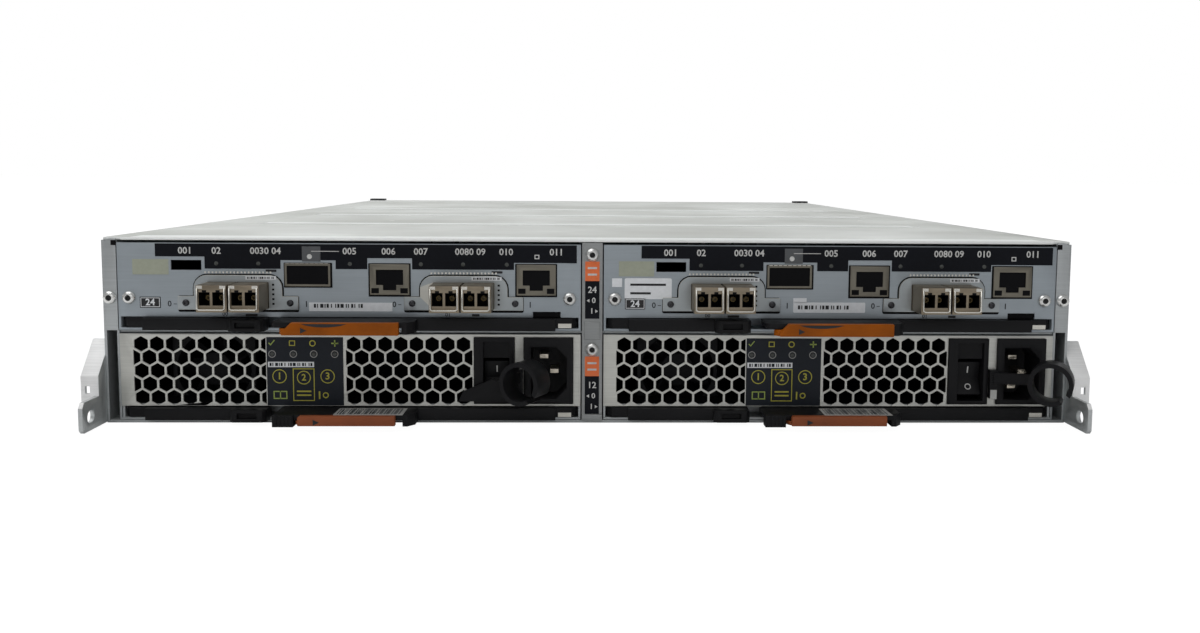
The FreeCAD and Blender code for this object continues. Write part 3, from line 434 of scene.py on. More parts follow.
def quarter(x, z, radius, start, steps):
    """Points of a quarter round that starts at an angle in degrees."""
    angles = [radians(start + 90 * step / steps) for step in range(steps + 1)]
    return [(x + radius * cos(angle), z + radius * sin(angle)) for angle in angles]


def box_outline(x0, x1, z0, z1, corner=0.0):
    """Rectangle in millimetres, with rounded corners if asked."""
    if corner <= 0:
        return scaled([(x0, z0), (x1, z0), (x1, z1), (x0, z1)])
    points = []
    for x, z, start in ((x1 - corner, z0 + corner, -90), (x1 - corner, z1 - corner, 0),
                        (x0 + corner, z1 - corner, 90), (x0 + corner, z0 + corner, 180)):
        points += quarter(x, z, corner, start, 3)
    return scaled(points)


def plate(x0, x1, z0, z1, depth=ink_depth, corner=0.0):
    """Flat rectangular plate, its edges in millimetres."""
    return flat_cut([box_outline(x0, x1, z0, z1, corner)], depth)


def gathered(parts, corner=(0, 0, 0)):
    """One mesh from (mesh, material index, x, y, z) parts, moved to a corner; a place may be left out."""
    work = bmesh.new()
    for mesh, index, *place in parts:
        copy = mesh.copy()
        copy.transform(Matrix.Translation(place or (0, 0, 0)))
        for face in copy.polygons:
            face.material_index = index
        work.from_mesh(copy)
        bpy.data.meshes.remove(copy)
    return mesh_of(work, "gathered", corner)


def printed_parts():
    """Empty list of printed parts, and a call that adds one to it at a place in millimetres."""
    parts = []

    def add(mesh, index, x=0.0, z=0.0, y=-film_depth):
        parts.append((mesh, index, x * mm, y, z * mm))

    return parts, add


def make_film_surface():
    """Printed film: almost even colour with faint scuffs and a slight ripple."""
    group, given, place = surface_group("film_surface", "Scuffs")
    wide = noise_node(group, place, 60.0, 4.0)
    fine = noise_node(group, place, 700.0, 3.0)
    least = math_node(group, "SUBTRACT", 1.0, given.outputs["Scuffs"])
    level = math_node(group, "MULTIPLY", spread(group, wide, least, 1.0), spread(group, fine, least, 1.0))
    rough = math_node(group, "ADD", given.outputs["Roughness"], spread(group, wide, -0.08, 0.08))
    fed(group, "NodeGroupOutput", Colour=tinted(group, given, level), Roughness=rough, Height=wide)
    return group


film_surface = make_film_surface()


def film(name, colour, roughness, scuffs=0.08, specular=0.35):
    return finish_from(name, film_surface, colour, roughness, 0.0, 0.1 * mm, specular, Scuffs=scuffs)


black_film = film("black_film", (0.006, 0.007, 0.011), 0.4, 0.2, 0.12)
white_ink = film("white_ink", (0.72, 0.72, 0.70), 0.5, 0.15)
orange_film = film("orange_film", (0.92, 0.20, 0.06), 0.45, 0.12)


def divider_label(name, number, low, step, high):
    """Orange above, black below, with the two slot numbers and a pointer to each side."""
    parts, add = printed_parts()
    add(plate(-3.3, 3.3, step, high, film_depth), 0, y=0)
    add(plate(-3.3, 3.3, low, step, film_depth), 1, y=0)
    for rise in (-1.5, 1.5):
        add(plate(-2.1, 2.1, -0.45, 0.45), 2, 0, (step + high) / 2 + rise)
    height = step - low
    for text, size, x, share in ((number, 2.9, 0.0, 0.76), ("0", 2.5, 0.7, 0.48), ("1", 2.5, -0.2, 0.20)):
        add(numeral(text, size), 2, x, low + height * share)
    for way, x, share in ((1, -1.8, 0.48), (-1, 1.9, 0.20)):
        pointer = [(-0.8 * way, 0), (0.5 * way, -0.8 * way), (0.5 * way, 0.8 * way)]
        add(flat_cut([scaled(pointer)]), 2, x, low + height * share)
    label = gathered(parts, (0, rear, 0))
    put(name, label, "center_divider", orange_film, black_film, white_ink, slot="dark_plastic")


divider_label("upper_divider_label", "24", 48.9, 66.4, 75.4)
divider_label("lower_divider_label", "12", 4.0, 22.0, 31.2)


# ---- Screws ----
# Bright zinc pan heads on the chassis and on the controllers' faces, each with a deep dark socket.
# Every head is one turned shape set on its own spot.
def turned(profile, sides=24):
    """Turned shape from (radius, height) points in millimetres, its axis along -Y, closed at radius 0."""
    work = bmesh.new()
    rings = []
    angles = [2 * pi * k / sides for k in range(sides)]
    for radius, height in scaled(profile):
        around = angles if radius > 0 else angles[:1]
        places = [(radius * cos(angle), -height, radius * sin(angle)) for angle in around]
        rings.append([work.verts.new(place) for place in places])
    for near, far in zip(rings, rings[1:]):
        for k in range(sides):
            steps = ((near, k), (near, k + 1), (far, k + 1), (far, k))
            work.faces.new(dict.fromkeys(row[step % len(row)] for row, step in steps))
    bmesh.ops.recalc_face_normals(work, faces=work.faces)
    mesh = mesh_of(work, "turned")
    mesh.shade_smooth()
    mesh.set_sharp_from_angle(angle=radians(35))
    return mesh


def make_setting_tree():
    """Geometry Nodes: one copy of a part on each point, made real and given its finish."""
    tree = bpy.data.node_groups.new("set_on_spots", "GeometryNodeTree")
    labels = (("Spots", "Geometry"), ("Part", "Object"), ("Size", "Float"), ("Finish", "Material"))
    keys = {}
    for label, kind in labels:
        socket = tree.interface.new_socket(label, in_out="INPUT", socket_type="NodeSocket" + kind)
        keys[label] = socket.identifier
    tree.interface.new_socket("Result", in_out="OUTPUT", socket_type="NodeSocketGeometry")
    given = tree.nodes.new("NodeGroupInput").outputs
    part = fed(tree, "GeometryNodeObjectInfo", Object=given["Part"])
    copies = fed(tree, "GeometryNodeInstanceOnPoints", Points=given["Spots"],
                 Instance=part.outputs["Geometry"], Scale=given["Size"])
    real = fed(tree, "GeometryNodeRealizeInstances", Geometry=copies.outputs[0])
    coat = fed(tree, "GeometryNodeSetMaterial", Geometry=real.outputs[0], Material=given["Finish"])
    fed(tree, "NodeGroupOutput", Result=coat.outputs[0])
    return tree, keys


setting_tree, setting_keys = make_setting_tree()


def set_out(name, pattern, spots, node, finish, size=1.0):
    """Set a copy of a small part on every spot; the result is one plain mesh that rides with a node."""
    part = bpy.data.objects.new("pattern", pattern)
    points = bpy.data.meshes.new(name)
    points.from_pydata([tuple(spot) for spot in spots], [], [])
    piece = linked(name, points)
    spread_out = piece.modifiers.new("copies", "NODES")
    spread_out.node_group = setting_tree
    for label, value in (("Part", part), ("Size", size), ("Finish", finish)):
        spread_out[setting_keys[label]] = value
    mesh = evaluated(piece)
    piece.modifiers.clear()
    piece.data = mesh
    if not mesh.materials:
        mesh.materials.append(finish)
    bpy.data.objects.remove(part)
    belongs(piece, node)
    return piece


screw_steel = sheet_metal("screw_finish", (0.78, 0.78, 0.76), 0.24, metal=0.95, dust=0.0)
# The near-black disc in the bottom of each head's recess is painted shade.
socket_shade = film("socket_shade", (0.01, 0.01, 0.01), 0.5)
pan_head = turned([(3.1, 0.0), (3.1, 0.5), (2.75, 1.35), (2.0, 1.9), (1.5, 2.05), (1.35, 2.0), (1.2, 0.9),
                   (0, 0.9)])
pan_socket = turned([(1.22, 0.92), (1.2, 1.0), (0, 1.0)], 12)


def head_boxes(node):
    """Low and high corner of each plain screw head of a node."""
    work = welded(node)
    found = []
    left = dict.fromkeys(work.verts)
    while left:
        island, grow = [], [left.popitem()[0]]
        while grow:
            vert = grow.pop()
            island.append(vert.co.copy())
            for other in [edge.other_vert(vert) for edge in vert.link_edges]:
                if other in left:
                    del left[other]
                    grow.append(other)
        found.append([Vector([end(p[i] for p in island) for i in range(3)]) for end in (min, max)])
    work.free()
    return found


def turned_to(mesh, axis):
    """The same part facing rear (-Y), left (-X) or right (+X)."""
    copy = mesh.copy()
    if axis != "rear":
        copy.transform(Matrix.Rotation(radians(90 if axis == "right" else -90), 4, "Z"))
    return copy


def fit_screws(node):
    """Turned heads and their dark sockets in place of the plain heads of one node."""
    sides = {"rear": [], "left": [], "right": []}
    for low, high in head_boxes(node):
        middle = (low + high) / 2
        if high.y - low.y < high.x - low.x:
            side, middle.y = "rear", high.y
        elif middle.x < 0:
            side, middle.x = "left", high.x
        else:
            side, middle.x = "right", low.x
        sides[side].append(middle)
    for side, spots in sides.items():
        if not spots:
            continue
        heads = set_out(node + "_heads_" + side, turned_to(pan_head, side), spots, node, screw_steel)
        set_out(node + "_sockets_" + side, turned_to(pan_socket, side), spots, node, socket_shade)
        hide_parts(node)


fit_screws("chassis_screws")


# ---- Controller faces ----
# Each controller is a folded tray. A black printed film along the top of its face carries the status
# lamps and plain numerals; below it lie the port openings, a barred white label and small patches.
face_sheet = sheet_metal("controller_face_finish", (0.36, 0.40, 0.43), 0.46, 0.55, 0.03, 0.05, 0.1)
lamp_lens = film("lamp_lens", (0.07, 0.075, 0.07), 0.25)
white_paper = film("white_paper", (0.86, 0.88, 0.90), 0.6)
black_ink = film("black_ink", (0.02, 0.02, 0.022), 0.5)
beige_patch = film("beige_patch", (0.40, 0.42, 0.33), 0.55)
grey_tape = film("grey_tape", (0.10, 0.105, 0.11), 0.3)

lamp_mesh = turned([(0.95, 0), (0.95, 0.12), (0.6, 0.3), (0, 0.36)], 16)
film_edge = [(17.3, 39.6), (209.0, 39.6), (209.0, 31.4), (180.2, 31.4), (180.2, 28.2), (133.6, 28.2),
             (133.6, 33.3), (113.2, 33.3), (113.2, 28.2), (98.8, 28.2), (98.8, 32.2), (73.8, 32.2),
             (73.8, 28.2), (39.5, 28.2), (39.5, 33.7), (17.3, 33.7)]
film_numerals = ((30.8, "001"), (44.9, "02"), (67.1, "0030 04"), (105.2, "005"), (122.9, "006"),
                 (137.6, "007"), (160.2, "0080 09"), (176.6, "010"), (199.7, "011"))
port_numerals = ((23.2, "0", 2.6, 11.9), (85.2, "1", 2.6, 11.9), (125.3, "0", 2.6, 11.9),
                 (187.6, "1", 2.6, 11.9), (48.2, "00", 1.8, 7.25), (149.8, "01", 1.8, 7.25))
lamp_places = (44.8, 63.8, 105.3, 137.6, 156.9, 176.9)
bar_widths = (2, 1, 1, 2, 3, 1, 1, 1, 2, 2, 1, 3, 1, 1, 2, 1, 3, 2, 1, 1, 1, 2, 2, 1, 1, 3, 1, 1, 2)


def disc_outline(radius, x=0.0, z=0.0, sides=20):
    """Round outline, in millimetres."""
    angles = [2 * pi * step / sides for step in range(sides)]
    return scaled([(x + radius * cos(angle), z + radius * sin(angle)) for angle in angles])


def outlined(x0, x1, z0, z1, line):
    """Printed rectangle with a bare middle, in millimetres."""
    middle = box_outline(x0 + line, x1 - line, z0 + line, z1 - line)
    return flat_cut([box_outline(x0, x1, z0, z1), middle])


def bars(x0, x1, z0, z1):
    """Row of upright printed bars between two ends, as on a stock label."""
    outlines = []
    x = x0
    for index, width in enumerate(bar_widths):
        step = (x1 - x0) * width / sum(bar_widths)
        if index % 2 == 0:
            outlines.append(box_outline(x, x + step, z0, z1))
        x += step
    return flat_cut(outlines)


def corner_of(node):
    """Left lower corner of a plug-in module on the rear plane."""
    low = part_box(node)[0]
    return Vector((low.x, rear, low.z))


def spots_at(places, corner=Vector()):
    """Places in millimetres, measured from a corner."""
    return [corner + Vector([value * mm for value in place]) for place in places]


def mark_controller(unit):
    """Printed film, lamps and labels of one controller, from its left lower corner."""
    node = unit + "_tray"
    corner = corner_of(node)
    parts, add = printed_parts()
    add(flat_cut([scaled(film_edge)], film_depth), 0, y=0)
    for u, text in film_numerals:
        add(numeral(text, 3.0), 1, u, 36.3)
    add(plate(83.6, 92.0, 31.6, 38.6), 2)
    add(flat_cut([disc_outline(1.15)], 2 * ink_depth), 1, 87.0, 33.9)
    add(plate(87.8, 100.4, 36.2, 36.5, 2 * ink_depth), 1)
    add(outlined(-1.1, 1.1, -1.0, 1.0, 0.4), 1, 190.7, 34.2)
    put(unit + "_marking_film", gathered(parts, corner), node, black_film, white_ink, grey_tape,
        slot="dark_plastic")
    spots = spots_at([(u, -film_depth / mm, 30.6) for u in lamp_places], corner)
    set_out(unit + "_status_lamps", lamp_mesh, spots, node, lamp_lens)

    parts, add = printed_parts()
    if unit == "controller_b":
        add(plate(9.6, 31.4, 14.9, 24.6, film_depth, 0.8), 0, y=0)
        add(plate(3.8, 8.4, 20.5, 24.5, film_depth), 0, y=0)
        for row, length in ((21.6, 16.5), (17.6, 9.5)):
            add(plate(12.2, 12.2 + length, row - 0.5, row + 0.5), 1)
        add(plate(88.0, 121.7, 8.8, 13.6, film_depth, 0.5), 0, y=0)
        add(plate(88.0, 94.2, 13.4, 15.6, film_depth), 0, y=0)
        add(bars(90.2, 113.9, 10.4, 12.2), 1)
    else:
        add(plate(86.4, 124.4, 8.8, 12.8, film_depth), 0, y=0)
        add(bars(88.6, 110.9, 10.4, 12.2), 1)
    add(plate(6.9, 23.2, 25.4, 32.4, film_depth / 2), 2, y=0)
    add(plate(9.8, 19.2, 10.1, 15.2, film_depth), 1, y=0)
    add(outlined(10.2, 18.8, 10.5, 14.8, 0.25), 0)
    add(numeral("24", 3.0), 0, 14.5, 12.6)
    for u, text, size, z in port_numerals:
        add(numeral(text, size), 1, u, z, 0)
    for u in (25.6, 127.6):
        add(plate(u - 0.6, u + 0.9, 11.75, 12.05), 1, y=0)
    for u0, u1, w in ((67.0, 71.9, 27.3), (169.9, 174.9, 27.0), (57.5, 62.9, 6.9), (160.8, 164.3, 7.1)):
        add(plate(u0, u1, w - 0.55, w + 0.55, corner=0.25), 1, y=0)
    put(unit + "_labels", gathered(parts, corner), node, white_paper, black_ink, beige_patch,
        slot="grey_plastic")


controllers = ("controller_a", "controller_b")
for unit in controllers:
    formed(unit + "_tray", 0.15 * mm, face_sheet)
    fit_screws(unit + "_screws")
    mark_controller(unit)


# ---- Controller ports ----
# Two shielded network jacks and one expansion port. Each jack has a black insert, eight gilt springs
# and two dark status windows; the expansion port has a contact tongue and spring fingers on its top.
def boxes(sizes, corner=(0, 0, 0)):
    """Mesh of plain boxes, each given by its low and high corner in millimetres, moved to a corner."""
    work = bmesh.new()
    for low, high in sizes:
        cube = bmesh.ops.create_cube(work, size=1.0)["verts"]
        bmesh.ops.scale(work, vec=[(b - a) * mm for a, b in zip(low, high)], verts=cube)
        bmesh.ops.translate(work, vec=[(b + a) * mm / 2 for a, b in zip(low, high)], verts=cube)
    return mesh_of(work, "boxes", corner)


def lining(x0, x1, z0, z1, y0, y1, wall=0.12):
    """Boxes of a thin lining inside a deep mouth: two sides, floor, roof and back."""
    return [((x0, y0, z0), (x0 + wall, y1, z1)), ((x1 - wall, y0, z0), (x1, y1, z1)),
            ((x0, y0, z0), (x1, y1, z0 + wall)), ((x0, y0, z1 - wall), (x1, y1, z1)),
            ((x0, y1 - wall, z0), (x1, y1, z1))]


def tilted(size, angle):
    """One small box, swung about its root."""
    mesh = boxes([size])
    mesh.transform(Matrix.Rotation(radians(angle), 4, "X"))
    return mesh


brass_shell = sheet_metal("port_shell_finish", (0.20, 0.185, 0.15), 0.36, 0.85, 0.02, 0.14, 0.0)
spring_steel = sheet_metal("spring_finish", (0.70, 0.68, 0.62), 0.24, metal=0.95, clouds=0.1, dust=0.0)
gilt = sheet_metal("gilt_finish", (0.22, 0.15, 0.06), 0.4, metal=0.95, dust=0.0)
# Near-black film for the real black inserts; it also serves for painted shade in gaps, slots and the supply
# cases.
insert_and_shade_black = film("insert_and_shade_black", (0.006, 0.006, 0.007), 0.6, 0.08, 0.08)

jack_middles = (123.3, 190.4)
jack_walls = ((-6.2, 0.5, 21.0, -6.05, 13.9, 28.0), (6.05, 0.5, 21.0, 6.2, 13.9, 28.0),
              (-6.2, 0.5, 27.85, 6.2, 13.9, 28.0), (-6.2, 13.75, 18.6, 6.2, 13.9, 28.0),
              (-6.2, 0.5, 21.0, -3.0, 13.9, 21.15), (3.0, 0.5, 21.0, 6.2, 13.9, 21.15),
              (-3.0, 0.5, 18.6, -2.85, 9.9, 21.0), (2.85, 0.5, 18.6, 3.0, 9.9, 21.0),
              (-3.0, 0.5, 18.6, 3.0, 9.9, 18.75), (-8.3, -0.72, 17.2, -4.9, -0.55, 19.6),
              (4.9, -0.72, 17.2, 8.3, -0.55, 19.6))
jack_spring = tilted(((-0.22, 0, -0.12), (0.22, 7.6, 0.12)), -27)
tongue_strip = boxes([((-0.2, 2.7, -0.08), (0.2, 10.0, 0.08))])
port_finger = tilted(((-0.8, 0, 0), (0.8, 3.4, 0.25)), -12)

for unit in controllers:
    node = unit + "_ports"
    corner = corner_of(unit + "_tray")
    formed(node, 0.15 * mm, brass_shell)
    # Black sheets a little larger than the two jacks and the expansion port, just in front of the face, are
    # painted shade round their shells.
    sizes = [((m - 9.7, -0.08, 15.6), (m + 9.6, 0, 30.9)) for m in jack_middles]
    sizes.append(((75.2, -0.08, 19.6), (97.2, 0, 31.0)))
    for m in jack_middles:
        sizes += [((m + x0, y0, z0), (m + x1, y1, z1)) for x0, y0, z0, x1, y1, z1 in jack_walls]
    sizes.append(((189.0, 0.9, 6.2), (201.4, 1.1, 8.7)))
    sizes += lining(76.6, 95.4, 21.2, 29.7, 0.2, 17.9)
    sizes.append(((78.1, 2.5, 24.5), (93.9, 12.0, 26.4)))
    put(unit + "_port_inserts", boxes(sizes, corner), node, insert_and_shade_black)
    spots = spots_at([(m + (k - 3.5) * 1.02, 2.2, 27.5) for m in jack_middles for k in range(8)], corner)
    set_out(unit + "_jack_springs", jack_spring, spots, node, gilt)
    spots = spots_at([(79.7 + 1.05 * k, 0, z) for k in range(13) for z in (24.45, 26.45)], corner)
    set_out(unit + "_port_contacts", tongue_strip, spots, node, gilt)
    spots = spots_at([(77.2 + 2.2 * k, -1.1, 30.75) for k in range(9)], corner)
    set_out(unit + "_port_fingers", port_finger, spots, node, spring_steel)


# ---- Corner gaps ----
# The folded cover ends short of the pan's flanges, and a dark gap is left at both upper corners. A
# thin black plate stands for the shadow in each.
for name, x0, x1 in (("corner_gap_left", -218.7, -216.4), ("corner_gap_right", 216.4, 218.7)):
    gap = boxes([((x0, rear / mm - 0.1, 81.9), (x1, rear / mm, 84.2))])
    put(name, gap, "chassis_shell", insert_and_shade_black, slot="dark_plastic")


# ---- Host adapters ----
# Nickel plates screwed over the face with dark screws on their tabs, a comb of shielding teeth above
# and a row of small black marks beside the cage, painted shade in its slots. A black sheet just
# behind each plate, a little larger than it, is painted shade along its edge.
nickel = sheet_metal("adapter_finish", (0.56, 0.55, 0.50), 0.36, 0.75, 0.02, 0.16, 0.0)
plate_sheet = sheet_metal("adapter_plate_finish", (0.38, 0.41, 0.42), 0.42, 0.5, 0.02, 0.1, 0.0)
dark_screw = sheet_metal("dark_screw_finish", (0.06, 0.06, 0.065), 0.35, metal=0.8, dust=0.0)
adapter_starts = (34.5, 137.2)
shade_rim_depth = 0.08 * mm
sheet_front = -1.0 * mm
plate_area = 80e-6


def arched(x0, x1, z0, z1, corner):
    """Upright plate outline with its two upper corners rounded, in millimetres."""
    right = quarter(x1 - corner, z1 - corner, corner, 0, 5)
    left = quarter(x0 + corner, z1 - corner, corner, 90, 5)
    return scaled([(x0, z0), (x1, z0), *right, *left])


def is_plate(face):
    """The broad front face of each plate is plainer than the folded cage behind it."""
    return 1 if face.normal.y < -0.9 and face.area > plate_area else 0


comb_tooth = boxes([((-0.36, -0.2, 0), (0.36, 0, 0.8))])
# Small black mark: painted shade standing for one slot in the sheet.
slot_shade_mark = boxes([((0, -0.06, -0.45), (1.0, 0, 0.45))])

for unit in controllers:
    node = unit + "_adapters"
    corner = corner_of(unit + "_tray")
    formed(node, 0.12 * mm, nickel, plate_sheet, part_of=is_plate)
    shade_rims, labels = [], []
    # Black sheets a little larger than each plate and its tabs are painted shade along their edges.
    for u in adapter_starts:
        shade_rims += [(flat_cut([arched(u - 0.6, u + 40.6, 8.8, 25.9, 6.6)], shade_rim_depth), 0),
                 (plate(u - 7.4, u + 47.4, 8.3, 15.8, shade_rim_depth, 0.8), 0)]
        labels += [(plate(u + 23.6, u + 37.4, 23.3, 25.0, film_depth), 0, 0, sheet_front, 0),
                   (bars(u + 24.4, u + 36.4, 23.7, 24.6), 1, 0, sheet_front - film_depth, 0)]
    put(unit + "_adapter_gaps", gathered(shade_rims, corner), node, insert_and_shade_black)
    put(unit + "_adapter_labels", gathered(labels, corner), node, white_paper, black_ink)
    spots = spots_at([(u + side, -1.0, 12.6) for u in adapter_starts for side in (-3.6, 43.6)], corner)
    set_out(unit + "_adapter_screws", pan_head, spots, node, dark_screw, 0.5)
    spots = spots_at([(u + 5.2 + 1.64 * k, 0, 26.1) for u in adapter_starts for k in range(19)], corner)
    set_out(unit + "_shield_combs", comb_tooth, spots, node, spring_steel)
    # Small black marks beside each cage are painted shade standing for the slots in the sheet.
    spots = spots_at([(u + 35.5, -1.0, 12.2 + 2.2 * k) for u in adapter_starts for k in range(5)], corner)
    set_out(unit + "_side_slots", slot_shade_mark, spots, node, insert_and_shade_black)


# ---- Transceivers ----
# Folded steel bodies with two square mouths each, a ceramic sleeve deep in every mouth and a bright
# wire bail that hinges over the front.
shell_steel = sheet_metal("transceiver_finish", (0.27, 0.225, 0.165), 0.34, 0.85, 0.02, 0.12, 0.0)
ceramic = film("ceramic", (0.30, 0.22, 0.10), 0.3)
sleeve = turned([(1.15, 0), (1.25, 0.2), (1.25, 0.3), (1.25, 3.0), (0.65, 3.2), (0.65, 1.0), (0, 1.0)], 14)
bail_path = ((0.7, -15.4, 10.6), (0.7, -16.7, 10.4), (0.7, -17.0, 1.7), (1.6, -17.1, 1.15),
             (11.8, -17.1, 1.15), (12.7, -17.0, 1.7), (12.7, -16.7, 10.4), (12.7, -15.4, 10.6))


def wire(points, radius):
    """Round wire bent along a path of points in millimetres."""
    curve = bpy.data.curves.new("wire", "CURVE")
    curve.dimensions = "3D"
    curve.bevel_depth = radius * mm
    curve.bevel_resolution = 3
    curve.use_fill_caps = True
    add_line(curve, [[value * mm for value in place] for place in points])
    mesh = curve_mesh(curve)
    mesh.shade_smooth()
    return mesh


for unit in controllers:
    node = unit + "_transceivers"
    corner = corner_of(unit + "_tray")
    formed(node, 0.14 * mm, shell_steel)
    low = 10.1
    sizes, sleeves, bails = [], [], []
    for x in [u + 6.1 + step for u in adapter_starts for step in (0.0, 14.2)]:
        for centre in (x + 6.7 - 3.0, x + 6.7 + 3.0):
            sizes += lining(centre - 2.45, centre + 2.45, low + 3.0, low + 9.0, -15.7, -7.1)
            sizes.append(((centre - 0.9, -16.1, low + 8.9), (centre + 0.9, -15.0, low + 9.9)))
            sleeves.append((centre, -7.4, low + 6.0))
        bails.append((wire([(x + u, y, low + z) for u, y, z in bail_path], 0.42), 0))
        eyes = [((x + u, -16.25, low + 10.5), (x + u + 2.6, -15.2, low + 11.9)) for u in (0.3, 10.5)]
        bails.append((boxes(eyes), 0))
    put(unit + "_fibre_mouths", boxes(sizes, corner), node, insert_and_shade_black)
    put(unit + "_bails", gathered(bails, corner), node, spring_steel)
    set_out(unit + "_fibre_sleeves", sleeve, spots_at(sleeves, corner), node, ceramic)


# ---- Levers and latches ----
# Every module is held by a short and a long black lever. The long one carries a sliding latch along
# its handle plate: bright orange on the controllers, rust brown on the supplies.
def make_moulded_surface():
    """Moulded plastic: fine spark-eroded grain with faint wear and settled dust."""
    group, given, place = surface_group("moulded_surface", "Wear")
    grain = noise_node(group, place, 2600.0, 1.0)
    worn = noise_node(group, place, 45.0, 4.0)
    level = swing(group, worn, given.outputs["Wear"])
    rough = math_node(group, "ADD", given.outputs["Roughness"], spread(group, worn, -0.07, 0.09))
    fed(group, "NodeGroupOutput", Colour=tinted(group, given, level), Roughness=rough, Height=grain)
    return group


moulded_surface = make_moulded_surface()


def moulded(name, colour, roughness, wear=0.1, specular=0.3):
    return finish_from(name, moulded_surface, colour, roughness, 0.0, 0.04 * mm, specular, Wear=wear)


black_moulding = moulded("black_moulding", (0.009, 0.009, 0.010), 0.42, 0.2, 0.16)
orange_latch = moulded("orange_latch", (0.31, 0.075, 0.001), 0.45, 0.3, 0.15)
rust_latch = moulded("rust_latch", (0.27, 0.070, 0.022), 0.45, 0.25)
light_tape = film("light_tape", (0.52, 0.52, 0.50), 0.4)


def arc_piece(x0, x1, z, sag, steps=8):
    """Outline of a flat-topped scoop that sags below z between two ends, in millimetres."""
    points = [(x1, z), (x0, z)]
    for step in range(1, steps):
        t = step / steps
        points.append((x0 + (x1 - x0) * t, z - sag * sin(pi * t) ** 0.7))
    return scaled(points)


def box_of(node):
    """Low and high ends of a node along X, Y and Z, in millimetres."""
    low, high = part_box(node)
    return [value / mm for value in (*low, *high)]


supplies = ("supply_a", "supply_b")
for unit in controllers + supplies:
    on_controller = unit.startswith("controller")
    for side in ("left", "right"):
        formed(unit + "_lever_" + side, 0.35 * mm, black_moulding)
    node = unit + "_latch"
    formed(node, 0.4 * mm, orange_latch if on_controller else rust_latch)
    x0, y0, z0, x1, _, z1 = box_of(node)
    start = x0 + 2.0
    width = x1 - start
    marks = []
    # On the controllers a black crescent along the latch's top edge is painted shade in the gap there.
    if on_controller:
        scoop = arc_piece(start + 0.17 * width, start + 0.56 * width, z1 - 0.45, 1.5)
        marks.append((flat_cut([scoop]), 0))
    x, z = start + 0.19 * width, (z0 + z1) / 2 - 0.6
    marks.append((flat_cut([scaled([(x - 1.3, z - 1.3), (x + 1.5, z), (x - 1.3, z + 1.3)])]), 0))
    put(unit + "_latch_marks", gathered(marks, (0, y0 * mm, 0)), node, black_ink)

for unit in controllers + supplies:
    node = unit + "_lever_right"
    _, _, z0, x1, _, _ = box_of(node)
    pad = boxes([((x1 - 8.8, rear / mm - 0.95, z0 + 1.2), (x1 - 2.7, rear / mm - 0.6, z0 + 3.2))])
    put(unit + "_lever_pad", pad, node, spring_steel)

for unit in supplies:
    node = unit + "_lever_right"
    x0, y0, z0, _, _, z1 = box_of(node)
    starts = [x0 + 1.2 + 1.7 * k for k in range(5)]
    ribs = boxes([((x, y0 - 0.3, z0 + 0.5), (x + 0.8, y0 + 0.2, z1 - 0.4)) for x in starts])
    put(unit + "_grip_ribs", ribs, node, black_moulding)
    tape = boxes([((x0 + 27.0, y0 + 0.6, z1), (x0 + 58.0, y0 + 15.0, z1 + 0.12))])
    lines = [(x0 + 28.2 + 1.1 * k, 0.4 + 0.3 * (k % 3)) for k in range(26)]
    code = boxes([((x, y0 + 2.1, z1 + 0.1), (x + wide, y0 + 13.5, z1 + 0.16)) for x, wide in lines])
    put(unit + "_handle_tape", gathered([(tape, 0), (code, 1)]), node, light_tape, grey_tape)


# ---- Power supplies ----
# A light grille with two fields of hexagonal holes in front of a case with its fan; black sheets inside
# the case are painted shade and stand for the dark parts within. A dark label with ringed lamps and
# plain numbered fields sits between the two fields.
grille_sheet = sheet_metal("grille_finish", (0.58, 0.58, 0.54), 0.34, metal=0.7, clouds=0.05, dust=0.05)
night_label = film("night_label", (0.014, 0.018, 0.026), 0.4, 0.15, 0.2)
yellow_ink = film("yellow_ink", (0.50, 0.46, 0.06), 0.5)
green_ink = film("green_ink", (0.36, 0.46, 0.10), 0.5)
grey_ink = film("grey_ink", (0.30, 0.30, 0.29), 0.5)
rotor_plastic = moulded("rotor_plastic", (0.012, 0.012, 0.013), 0.5, 0.1, 0.15)
supply_lamp_places = (69.1, 78.8, 88.1, 97.7)
tick = [(67.5, 35.6), (68.5, 34.5), (70.5, 37.0), (70.1, 37.2), (68.5, 35.2), (67.8, 35.9)]


def ring(x, z, outer, inner):
    """Printed ring, in millimetres."""
    return flat_cut([disc_outline(outer, x, z), disc_outline(inner, x, z)])


